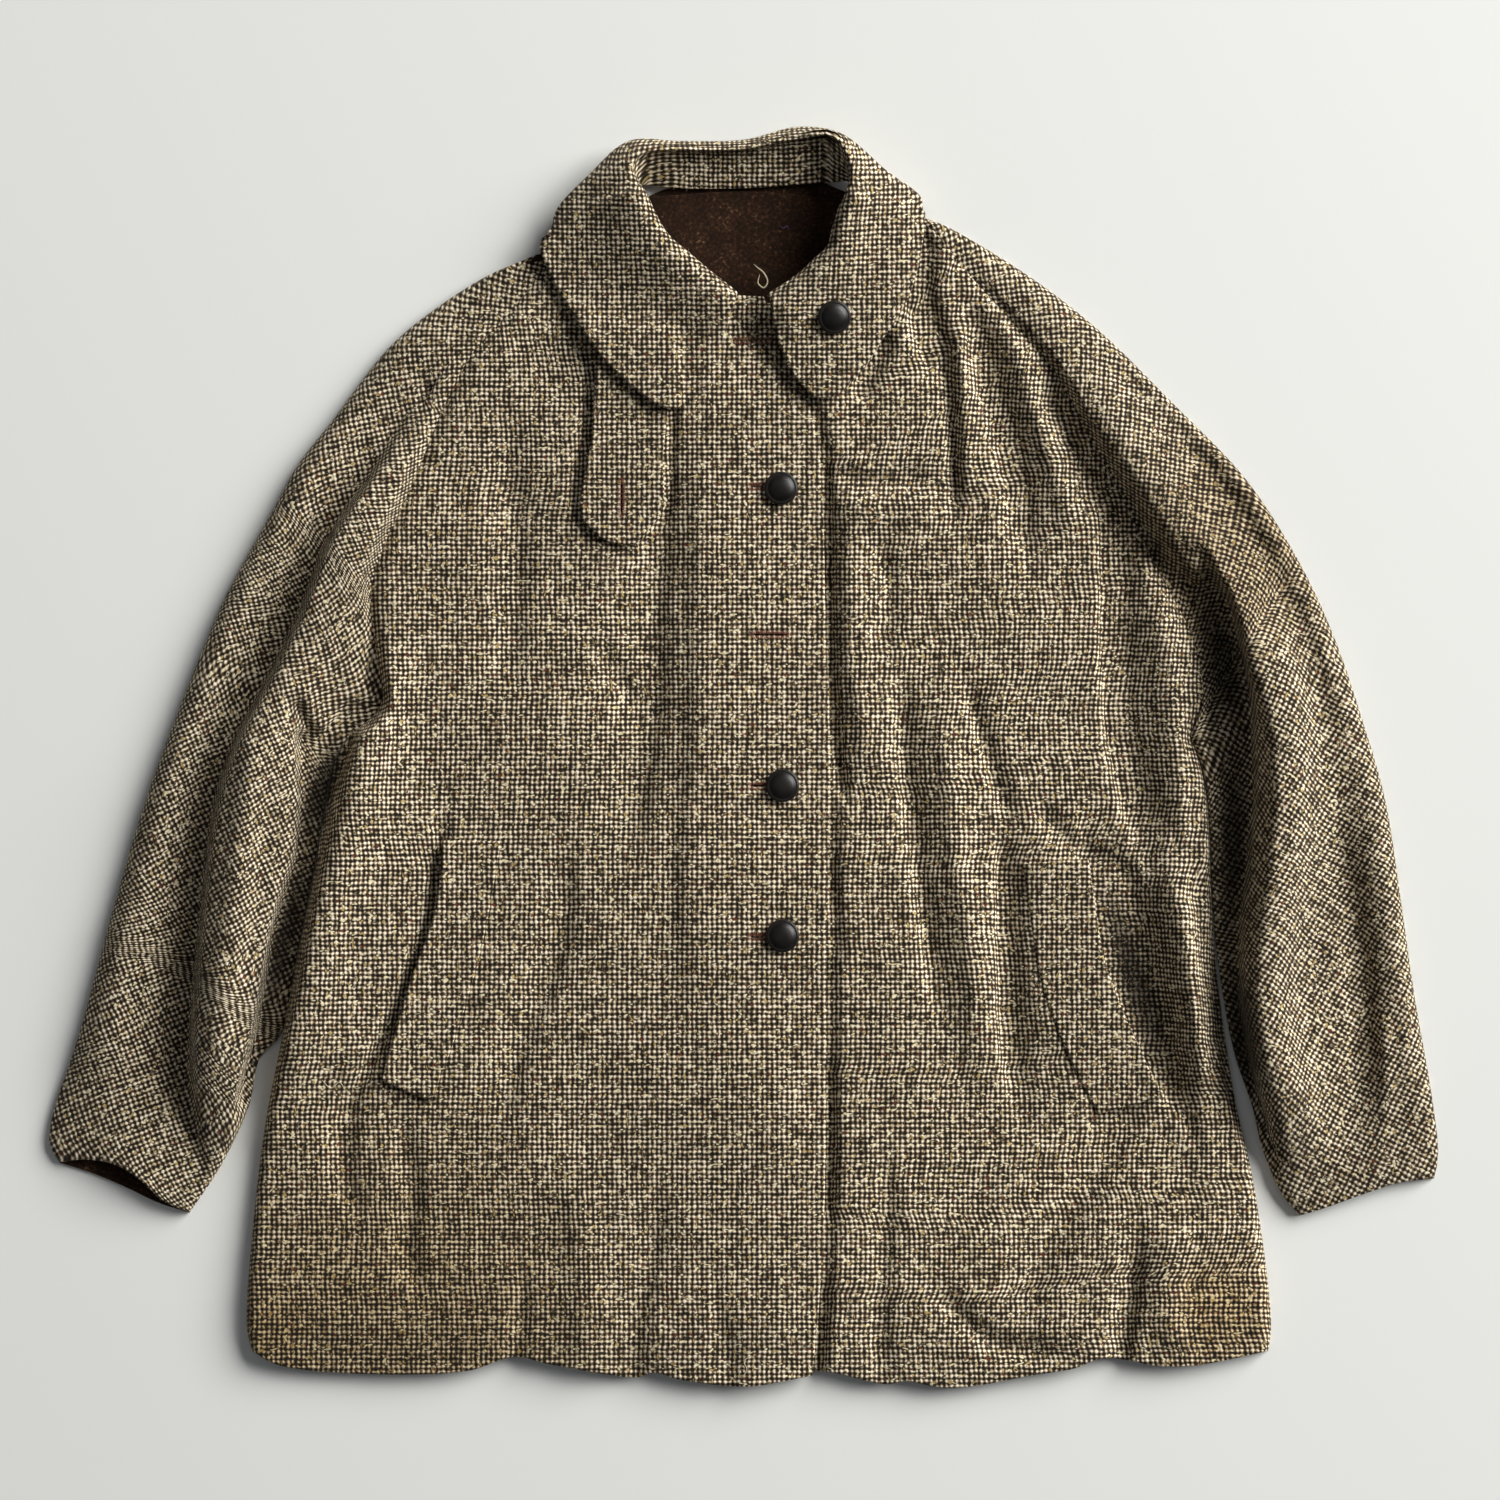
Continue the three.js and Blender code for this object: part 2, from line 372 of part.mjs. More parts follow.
function solidFrom(outer, inner) {
  const height = outer.length;
  const width = outer[0].length;
  const positions = [...outer, ...inner].flat().flatMap(trueSpot);
  const at = (side, j, i) => side * height * width + j * width + i;
  const faces = [];
  const quad = (a, b, c, d) => faces.push(a, b, c, a, c, d);
  for (let j = 0; j < height - 1; j += 1) {
    for (let i = 0; i < width - 1; i += 1) {
      quad(at(0, j, i), at(0, j, i + 1), at(0, j + 1, i + 1), at(0, j + 1, i));
      quad(at(1, j, i), at(1, j + 1, i), at(1, j + 1, i + 1), at(1, j, i + 1));
    }
  }
  for (let i = 0; i < width - 1; i += 1) {
    quad(at(0, 0, i), at(1, 0, i), at(1, 0, i + 1), at(0, 0, i + 1));
    quad(at(0, height - 1, i), at(0, height - 1, i + 1), at(1, height - 1, i + 1), at(1, height - 1, i));
  }
  for (let j = 0; j < height - 1; j += 1) {
    quad(at(0, j, 0), at(0, j + 1, 0), at(1, j + 1, 0), at(1, j, 0));
    quad(at(0, j, width - 1), at(1, j, width - 1), at(1, j + 1, width - 1), at(0, j + 1, width - 1));
  }
  const geometry = new THREE.BufferGeometry();
  geometry.setAttribute("position", new THREE.Float32BufferAttribute(positions, 3));
  geometry.setIndex(faces);
  return geometry;
}

// A wall of even thickness under a sheet whose faces look up or out. Nothing of it goes below `least`.
function wall(rows, thickness, least, upright) {
  const normals = sheetNormals(rows, upright);
  const inner = rows.map((row, j) => row.map((point, i) => {
    const under = point.clone().addScaledVector(normals[j][i], -thickness);
    under.z = Math.max(under.z, least);
    return under;
  }));
  return solidFrom(rows, inner);
}

// Shares across a piece: close together where the edges turn down, even in between.
function shares(width, count, firstRoll, secondRoll) {
  const turn = [0, 0.13, 0.5, 1];
  const start = turn.map((step) => (step * firstRoll) / width);
  const end = turn.map((step) => 1 - (step * secondRoll) / width).reverse();
  const from = start.at(-1);
  const to = end[0];
  const middle = [];
  for (let k = 1; k < count; k += 1) {
    middle.push(from + ((to - from) * k) / count);
  }
  return [...(firstRoll ? start : [0]), ...middle, ...(secondRoll ? end : [1])];
}

// Quarter of an ellipse: nought at the edge, one where the turned-down part ends.
function turnDown(inset, radius) {
  const left = 1 - Math.min(inset / radius, 1);
  return Math.sqrt(1 - left * left);
}

const wasm = await Module();
wasm.setup();

function toManifold(geometry) {
  const plain = geometry.clone();
  plain.deleteAttribute("normal");
  plain.deleteAttribute("uv");
  const merged = mergeVertices(plain, 1e-4);
  const vertProperties = Float32Array.from(merged.attributes.position.array);
  const triVerts = Uint32Array.from(merged.index.array);
  return new wasm.Manifold(new wasm.Mesh({ numProp: 3, vertProperties, triVerts }));
}

function fromManifold(solid) {
  const mesh = solid.getMesh();
  const geometry = new THREE.BufferGeometry();
  geometry.setAttribute("position", new THREE.Float32BufferAttribute(mesh.vertProperties, 3));
  geometry.setIndex(Array.from(mesh.triVerts));
  return geometry;
}

// Cuts narrow slits right through a wall for its buttonholes.
function withButtonholes(geometry, holes, upright) {
  const slits = holes.map((hole) => {
    const long = upright ? [buttonholeWidth, buttonholeLength] : [buttonholeLength, buttonholeWidth];
    const slit = new THREE.BoxGeometry(long[0], long[1], slitDepth);
    slit.translate(hole.x, hole.y, bodyLevel);
    return toManifold(slit);
  });
  return fromManifold(slits.reduce((solid, slit) => solid.subtract(slit), toManifold(geometry)));
}

const coat = new THREE.Group();

function add(name, geometry, colour, roughness = 0.95) {
  const material = new THREE.MeshStandardMaterial({ color: colour, roughness, metalness: 0 });
  const mesh = new THREE.Mesh(geometry, material);
  mesh.name = name;
  coat.add(mesh);
  return mesh;
}

const raglanSteps = 12;
const sideSteps = 14;
const flatSteps = 8;
const upwards = (points) => [...points].reverse();

// A side of a piece: its raglan stretch and the stretch below the armpit, from the bottom up.
function longSide(raglan, below, upper = raglanSteps, lower = sideSteps) {
  return upwards([...along(raglan, upper), ...along(below, lower).slice(1)]);
}

// Level of a panel near its long sides: drawn in at the raglan seam, turned down to the back below it.
function edgeLevels(level, inset, row, radius) {
  const seam = soften(sideSteps - 1.5, sideSteps + 1, row);
  const turned = edgeLevel + (level - edgeLevel) * turnDown(inset, radius);
  const seamAt = seamLevel - armpitDrop * soften(sideSteps + 5, sideSteps + 1, row);
  const drawn = seamAt + (level - seamAt) * soften(-2, 9, inset);
  return turned + (drawn - turned) * seam;
}

function pullApart(rows, columns) {
  rows.forEach((row) => columns.forEach((column) => {
    const next = column === 0 ? row[1] : row[row.length - 2];
    const point = column === 0 ? row[0] : row[row.length - 1];
    const step = next.clone().sub(point).setZ(0).setLength(seamGap);
    point.add(step);
  }));
}

// The two fronts
function frontPanel(sideCurves, centre, neck, hem, surface, onTheLeft) {
  const outerSide = longSide(...sideCurves);
  const middle = upwards(along(centre, raglanSteps + sideSteps));
  const rolls = onTheLeft ? [0, sideRoll] : [sideRoll, 0];
  const across = shares(panelWidth, panelColumns, ...rolls);
  const first = onTheLeft ? middle : outerSide;
  const second = onTheLeft ? outerSide : middle;
  const rows = sheet(first, second, alongAt(hem, across), alongAt(neck, across));
  rows.forEach((row, j) => {
    const wide = row[0].distanceTo(row.at(-1));
    row.forEach((point, i) => {
      const inset = (onTheLeft ? 1 - across[i] : across[i]) * wide;
      const up = point.y - hemPlace;
      const level = surface(point.x, point.y) - hemSettle * soften(40, 4, up);
      point.z = edgeLevels(level, inset, j, sideRoll);
    });
  });
  return rows;
}

const placketLine = along(frontEdge, 60);
function placketEdgeAt(y) {
  const near = placketLine.reduce((best, point) => (Math.abs(point.y - y) < Math.abs(best.y - y) ? point : best));
  return near.x;
}
const underFrontEdge = frontEdge.map((point) => ({ x: point.x - frontOverlap, y: point.y - 4 }));
underFrontEdge[underFrontEdge.length - 1] = leftHem[0];
underFrontEdge[0] = leftNeck[0];

function underFrontLevel(x, y) {
  const beyond = x - placketEdgeAt(y);
  const sunk = (cloth + 3 * seamGap) * soften(30, 6, beyond);
  return Math.max(underSurface(x, y) - sunk, lowestLevel);
}

const seamColumn = (column) => (i, j) => i === column && j > sideSteps - 2;

const rightRows = frontPanel([rightRaglan, rightSide], frontEdge, rightNeck, rightHem, bodySurface, false);
pullApart(rightRows, [0]);
const rightWall = wall(rightRows, cloth, edgeLevel, seamColumn(0));
add("front_right", withButtonholes(rightWall, frontButtonholes, false), tweedColour);

const leftRows = frontPanel([leftRaglan, leftSide], underFrontEdge, leftNeck, leftHem, underFrontLevel, true);
pullApart(leftRows, [-1]);
add("front_left", wall(leftRows, cloth, edgeLevel, seamColumn(leftRows[0].length - 1)), tweedColour);

// The flat pieces that lie on the surface. Their lower edge is drawn in, as cloth's is.
function flatPanel(first, second, lower, upper, level, thickness, drawIn = 1.5) {
  const rows = sheet(first, second, lower, upper);
  const last = rows.length - 1;
  const side = rows[0].length - 1;
  const top = rows.map((row) => row.map((point) => point.clone().setZ(level + thickness)));
  const bottom = rows.map((row, j) => row.map((point, i) => {
    const under = point.clone().setZ(level);
    const towards = rows[THREE.MathUtils.clamp(j, 1, last - 1)][THREE.MathUtils.clamp(i, 1, side - 1)];
    const step = towards.clone().sub(point);
    return step.length() > 0 ? under.add(step.setLength(drawIn)) : under;
  }));
  return solidFrom(top, bottom);
}

// Moves a line of places sideways in plan, to its left when seen along it.
function moved(points, aside) {
  return points.map((point, k) => {
    const ahead = points[Math.min(k + 1, points.length - 1)].clone().sub(points[Math.max(k - 1, 0)]);
    return point.clone().add(new THREE.Vector3(-ahead.y, ahead.x, 0).setLength(aside));
  });
}

const backColumns = shares(700, 10, 0, 0);
const backHem = [
  { x: -344, y: -413 }, { x: -260, y: -423 }, { x: -160, y: -413 }, { x: -130, y: -417 }, { x: 0, y: -427 },
  { x: 60, y: -424 }, { x: 140, y: -430 }, { x: 250, y: -415 }, { x: 367, y: -412 },
];
const backLeft = moved(longSide(rightRaglan, rightSide, flatSteps, flatSteps), -0.3);
const backRight = moved(longSide(leftRaglan, leftSide, flatSteps, flatSteps), 0.3);
add("back", flatPanel(backLeft, backRight, alongAt(backHem, backColumns), alongAt(backNeck, backColumns), 0, cloth), tweedColour);

// The brown inside of the back, where the neck shows it
const innerBack = {
  left: [{ x: -84, y: 311 }, { x: -84, y: 345 }, { x: -66, y: 392 }],
  right: [{ x: 88, y: 311 }, { x: 86, y: 345 }, { x: 70, y: 390 }],
  lower: [{ x: -84, y: 311 }, { x: 0, y: 309 }, { x: 88, y: 311 }],
  upper: [{ x: -66, y: 392 }, { x: 2, y: 396 }, { x: 70, y: 390 }],
};
const innerRows = [along(innerBack.left, 5), along(innerBack.right, 5), along(innerBack.lower, 7), along(innerBack.upper, 7)];
add("inner_back", flatPanel(...innerRows, cloth + seamGap, liningCloth, 0.5), liningColour);

// The sleeves, each with a front and a back piece
function sleeveFront(outer, raglan, under, cuff, surface, gape, onTheLeft) {
  const outerSide = upwards(along(outer, raglanSteps + sideSteps));
  const innerSide = longSide(raglan, under);
  const rolls = onTheLeft ? [sleeveUnderRoll, sleeveRoll] : [sleeveRoll, sleeveUnderRoll];
  const across = shares(sleeveWidth, panelColumns, ...rolls);
  const first = onTheLeft ? innerSide : outerSide;
  const second = onTheLeft ? outerSide : innerSide;
  const neckEnd = [outer[0], raglan[0]].sort((a, b) => a.x - b.x);
  const rows = sheet(first, second, alongAt(cuff, across), alongAt(neckEnd, across));
  rows.forEach((row, j) => {
    const wide = row[0].distanceTo(row.at(-1));
    row.forEach((point, i) => {
      const fromFirst = across[i] * wide;
      const fromSecond = wide - fromFirst;
      const [outerInset, innerInset] = onTheLeft ? [fromSecond, fromFirst] : [fromFirst, fromSecond];
      const cuffward = soften(cuffReach, 0, j);
      const mouth = cuffLevel + gape * Math.sin(Math.PI * across[i]) ** 2;
      const level = surface(point.x, point.y) * (1 - cuffward) + cuffward * mouth;
      const inner = edgeLevels(level, innerInset, j, sleeveUnderRoll);
      const outward = turnDown(outerInset, sleeveRoll);
      point.z = edgeLevel + (inner - edgeLevel) * outward;
    });
  });
  return rows;
}

const rightLines = [rightSleeveOuter, rightRaglan, rightSleeveUnder, rightCuff];
const rightSleeve = sleeveFront(...rightLines, rightSleeveSurface, cuffGape.right, false);
pullApart(rightSleeve, [-1]);
const lastColumn = rightSleeve[0].length - 1;
add("right_sleeve_front", wall(rightSleeve, cloth, edgeLevel, seamColumn(lastColumn)), tweedSleeveColour);

const leftLines = [leftSleeveOuter, leftRaglan, leftSleeveUnder, leftCuff];
const leftSleeve = sleeveFront(...leftLines, leftSleeveSurface, cuffGape.left, true);
pullApart(leftSleeve, [0]);
add("left_sleeve_front", wall(leftSleeve, cloth, edgeLevel, seamColumn(0)), tweedSleeveColour);

function sleeveBack(name, outer, raglan, under, cuff, onTheLeft) {
  const aside = onTheLeft ? 0.3 : -0.3;
  const innerSide = moved(longSide(raglan, under, flatSteps, flatSteps), -aside);
  const outerSide = moved(upwards(along(outer, 2 * flatSteps)), aside);
  const first = onTheLeft ? innerSide : outerSide;
  const second = onTheLeft ? outerSide : innerSide;
  const lower = along(cuff, 6);
  const upper = [first.at(-1), second.at(-1)];
  const top = [0, 1, 2, 3, 4, 5, 6].map((k) => upper[0].clone().lerp(upper[1], k / 6));
  lower[0].copy(first[0]);
  lower[6].copy(second[0]);
  add(name, flatPanel(first, second, lower, top, 0, cloth), tweedSleeveColour);
}
sleeveBack("right_sleeve_back", rightSleeveOuter, rightRaglan, rightSleeveUnder, rightCuffUnder, false);
sleeveBack("left_sleeve_back", leftSleeveOuter, leftRaglan, leftSleeveUnder, leftCuff, true);

// The brown inside of the right sleeve, where its cuff gapes
const cuffInside = {
  left: [{ x: -464, y: -284 }, { x: -456, y: -244 }],
  right: [{ x: -400, y: -311 }, { x: -388, y: -262 }],
  lower: [{ x: -464, y: -284 }, { x: -450, y: -291 }, { x: -433, y: -299 }, { x: -412, y: -308 }, { x: -400, y: -311 }],
  upper: [{ x: -456, y: -244 }, { x: -388, y: -262 }],
};
const cuffRows = [along(cuffInside.left, 3), along(cuffInside.right, 3), along(cuffInside.lower, 6), along(cuffInside.upper, 6)];
add("right_sleeve_inside", flatPanel(...cuffRows, cloth + seamGap, liningCloth, 0.5), liningColour);

// What lies on the right front follows its surface, moved out
function laidRows(first, second, lower, upper, above) {
  const rows = sheet(first, second, lower, upper);
  rows.forEach((row) => row.forEach((point) => {
    point.z = Math.max(bodySurface(point.x, point.y), bodyLevel - laidDip) + above;
  }));
  return rows;
}

const laidOn = cloth + seamGap + laidLift;
const tabTop = [throatTab.left[0], throatTab.right[0]];
const tabSheet = laidRows(
  upwards(along(throatTab.left, 10)), upwards(along(throatTab.right, 10)),
  along(throatTab.tip, 6), along(tabTop, 6), laidOn,
);
add("throat_tab", withButtonholes(wall(tabSheet, cloth, edgeLevel, () => true), [tabButtonhole], true), tweedColour);

welts.forEach((welt) => {
  const lines = [along(welt.open, 9), along(welt.seam, 9)].sort((a, b) => a[0].x - b[0].x).map(upwards);
  const lower = [0, 1, 2, 3, 4].map((k) => lines[0][0].clone().lerp(lines[1][0], k / 4));
  const upper = [0, 1, 2, 3, 4].map((k) => lines[0].at(-1).clone().lerp(lines[1].at(-1), k / 4));
  add(welt.name, wall(laidRows(...lines, lower, upper, laidOn), cloth, edgeLevel, () => true), tweedColour);
});

// The collar, one folded sheet from the neck seam over its roll to its edge
function tabUnder(x, y) {
  const aside = soften(-122, -108, x) * soften(-36, -50, x);
  return aside * soften(318, 300, y) * tabCover;
}

function collarLay(x, y) {
  return bodySurface(x, y) + tabUnder(x, y) + collarCloth + collarLift;
}

function collarRows(sections, acrossSteps) {
  const columns = ["seam", "roll", "mid", "low", "edge"];
  const lines = Object.fromEntries(columns.map((column) => {
    const curve = new THREE.CatmullRomCurve3(collarSections.map((row) => new THREE.Vector3(...row[column])), false, "centripetal");
    return [column, Array.from({ length: sections + 1 }, (_, k) => curve.getPoint(k / sections))];
  }));
  lines.edge.map((edge) => collarRaise * soften(6, 13, edge.z)).forEach((raise, k) => {
    columns.forEach((column) => {
      lines[column][k].z += raise;
    });
  });
  return lines.seam.map((seam, k) => {
    const top = lines.roll[k];
    const outward = lines.mid[k].clone().sub(top).setZ(0).setLength(collarRoll);
    const rollIn = top.clone().setZ(top.z - collarRoll);
    const rollTop = top.clone().add(outward);
    const behind = lines.edge[k].z < 9;
    const profile = [seam, rollIn, behind ? top.clone().addScaledVector(outward, 0.45) : rollTop,
      lines.mid[k], lines.low[k], lines.edge[k]];
    const curve = new THREE.CatmullRomCurve3(profile, false, "centripetal");
    return Array.from({ length: acrossSteps + 1 }, (_, step) => {
      const point = curve.getPoint(step / acrossSteps);
      const onTheFall = soften(0.45, 0.62, step / acrossSteps);
      if (!behind && onTheFall > 0) {
        point.z += onTheFall * Math.max(0, collarLay(point.x, point.y) - point.z);
      }
      return point;
    });
  });
}
const collarPoints = collarRows(46, 14).reverse();
add("collar", wall(collarPoints, collarCloth, 0.4, null), tweedColour);

// Low domed buttons with a rim, resting on the cloth
function buttonShape() {
  const radius = buttonWidth / 2;
  const profile = [[0, 0], [radius * 0.84, 0], [radius * 0.96, 1], [radius, 2.1], [radius * 0.95, 3.2], [radius * 0.82, 4.2],
    [radius * 0.6, 5.7], [radius * 0.32, buttonHeight - 0.3], [0, buttonHeight]];
  const geometry = new THREE.LatheGeometry(profile.map(([r, z]) => new THREE.Vector2(r, z)), buttonSides);
  return geometry.rotateX(Math.PI / 2);
}

function placeButton(name, seat, normal) {
  const button = add(name, buttonShape(), buttonColour, 0.45);
  button.position.set(...trueSpot(seat));
  button.quaternion.setFromUnitVectors(new THREE.Vector3(0, 0, 1), normal);
}

frontButtons.forEach((place, k) => {
  const heights = [];
  for (let turn = 0; turn < 12; turn += 1) {
    const angle = (turn / 12) * Math.PI * 2;
    const reach = buttonWidth * 0.42;
    heights.push(bodySurface(place.x + reach * Math.cos(angle), place.y + reach * Math.sin(angle)));
  }
  const seat = new THREE.Vector3(place.x, place.y, Math.max(...heights) + seamGap);
  placeButton(`front_button_${k + 1}`, seat, new THREE.Vector3(0, 0, 1));
});

// The collar's button lies square to the fall that it is sewn on.
const fallNormals = sheetNormals(collarPoints, null).flat();
const fallPoints = collarPoints.flat();
const underButton = fallPoints.map((point, k) => ({ point, normal: fallNormals[k] })).filter(({ point }) => (
  Math.hypot(point.x - collarButton.x, point.y - collarButton.y) < buttonWidth * 0.5
));
const lean = underButton.reduce((sum, { normal }) => sum.add(normal), new THREE.Vector3()).normalize();
const middleOf = underButton.reduce((sum, { point }) => sum.add(point), new THREE.Vector3()).divideScalar(underButton.length);
const proud = Math.max(...underButton.map(({ point }) => point.clone().sub(middleOf).dot(lean)));
const fallHeight = middleOf.z - ((collarButton.x - middleOf.x) * lean.x + (collarButton.y - middleOf.y) * lean.y) / lean.z;
const collarSeat = new THREE.Vector3(collarButton.x, collarButton.y, fallHeight).addScaledVector(lean, proud + 4 * seamGap);
placeButton("collar_button", collarSeat, lean);

coat.position.set(laidMiddle.x, laidMiddle.y, 0);

export default coat;
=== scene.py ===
# A reversible wool coat, buttoned once at the collar, laid flat on its back with the front up.
import math
import bpy
import numpy as np
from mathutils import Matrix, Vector


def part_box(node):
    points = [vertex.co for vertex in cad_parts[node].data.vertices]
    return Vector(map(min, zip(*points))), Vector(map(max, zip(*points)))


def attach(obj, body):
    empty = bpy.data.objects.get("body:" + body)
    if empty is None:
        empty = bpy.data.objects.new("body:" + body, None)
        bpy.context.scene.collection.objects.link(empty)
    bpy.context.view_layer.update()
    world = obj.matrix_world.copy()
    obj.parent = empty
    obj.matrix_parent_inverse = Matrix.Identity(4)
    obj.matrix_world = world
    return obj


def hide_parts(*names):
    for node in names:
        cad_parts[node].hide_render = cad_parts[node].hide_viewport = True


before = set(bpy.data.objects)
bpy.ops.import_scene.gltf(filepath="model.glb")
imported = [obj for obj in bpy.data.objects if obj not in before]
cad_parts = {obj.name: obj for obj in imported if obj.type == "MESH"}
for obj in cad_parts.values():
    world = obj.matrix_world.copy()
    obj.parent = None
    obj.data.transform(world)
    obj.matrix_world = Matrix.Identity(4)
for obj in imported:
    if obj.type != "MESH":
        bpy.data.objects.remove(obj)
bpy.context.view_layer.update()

mm = 0.001
print("coat: the frame is loaded")

# How the coat lies, in millimetres. The outlines below are as seen from the eye, over the middle.
lay = {
    "cloth": 3.2,            # double cloth: tweed outside, felted brown wool inside
    "collarCloth": 4.0,
    "liningCloth": 1.6,
    "gap": 0.3,              # between pieces that touch
    "bodyLevel": 13.5,       # top of the front where no fold lifts it
    "sleeveLevel": 11.0,
    "seamLevel": 10.5,
    "armpitDrop": 3.5,       # the raglan seam sinks towards the armpit
    "edgeLevel": 3.5,        # where a rolled edge meets the back
    "lowest": 6.7,
    "tabLift": 1.6,
    "laidDip": 2.0,          # a welt or tab follows troughs no deeper than this
    "sideRoll": 7.0,
    "sleeveRoll": 15.0,
    "sleeveUnderRoll": 7.0,
    "hemPlace": -433.0,
    "hemSettle": 2.2,
    "frontOverlap": 55.0,
    "eyeHeight": 1960.0,
    "eyeOver": (4.0, 5.0),   # the outlines were drawn for an eye here
    "cameraOver": (4.2, 4.9),
    "middle": (0.2, 0.5),
}

# Outlines in plan, each from its upper end to its lower end
rightRaglan = [(-72, 390), (-137, 342), (-164, 311), (-189, 284), (-208, 250), (-227, 204), (-240, 174),
               (-252, 148), (-261, 116), (-257, 70), (-254, 37), (-276, 15)]
rightSide = [(-276, 15), (-286, -2), (-292, -30), (-302, -86), (-313, -142), (-323, -194), (-335, -256),
             (-343, -320), (-348, -400), (-344, -417)]
leftRaglan = [(80, 385), (110, 378), (131, 370), (154, 342), (188, 304), (218, 269), (244, 220), (267, 176),
              (292, 126), (312, 89), (320, 59), (321, 40), (312, 14)]
leftSide = [(312, 14), (319, -4), (324, -30), (328, -114), (333, -169), (344, -241), (355, -289), (366, -361),
            (369, -400), (367, -416)]
rightHem = [(-344, -417), (-325, -426), (-260, -432), (-195, -430), (-160, -420), (-137, -425), (-76, -434),
            (-64, -431), (-44, -436), (2, -441), (22, -438), (48, -433)]
leftHem = [(-4, -431), (54, -430), (100, -439), (113, -437), (144, -442), (201, -433), (232, -428),
           (247, -422), (262, -421), (287, -426), (316, -426), (367, -416)]
frontEdge = [(14, 322), (28, 285), (43, 253), (52, 215), (55, 176), (57, 100), (60, 0), (58, -100), (57, -289),
             (54, -363), (48, -433)]
rightNeck = [(-72, 390), (-64, 371), (-43, 350), (-14, 326), (14, 322)]
leftNeck = [(-24, 316), (18, 318), (40, 333), (62, 352), (72, 372), (80, 385)]
backNeck = [(-72, 390), (-54, 398), (0, 401), (56, 402), (80, 385)]
backHem = [(-344, -413), (-260, -423), (-160, -413), (-130, -417), (0, -427), (60, -424), (140, -430),
           (250, -415), (367, -412)]
rightSleeveOuter = [(-136, 350), (-171, 341), (-220, 311), (-250, 285), (-287, 237), (-312, 205), (-332, 169),
                    (-364, 110), (-393, 40), (-419, -30), (-440, -100), (-467, -198), (-485, -254),
                    (-486, -272), (-479, -284)]
rightSleeveUnder = [(-276, 15), (-286.5, -2), (-292.5, -30), (-302.5, -86), (-313.5, -142), (-324, -194),
                    (-339, -211), (-346, -243), (-366, -286), (-388, -319)]
rightCuff = [(-479, -284), (-462, -282), (-442, -285), (-424, -295), (-406, -311), (-388, -319)]
rightCuffUnder = [(-479, -284), (-457, -291), (-433, -301), (-410, -312), (-388, -319)]
leftSleeveOuter = [(106, 383), (136, 374), (154, 365), (202, 335), (247, 300), (300, 248), (351, 195),
                   (388, 138), (414, 82), (433, 26), (449, -30), (460, -100), (470, -170), (482, -240),
                   (486, -280), (483, -295)]
leftSleeveUnder = [(312, 14), (319.5, -4), (324.5, -30), (328.5, -114), (334, -160), (343, -207), (356, -246),
                   (363, -275), (377, -307), (389, -321)]
leftCuff = [(483, -295), (459, -298), (431, -307), (403, -317), (389, -321)]

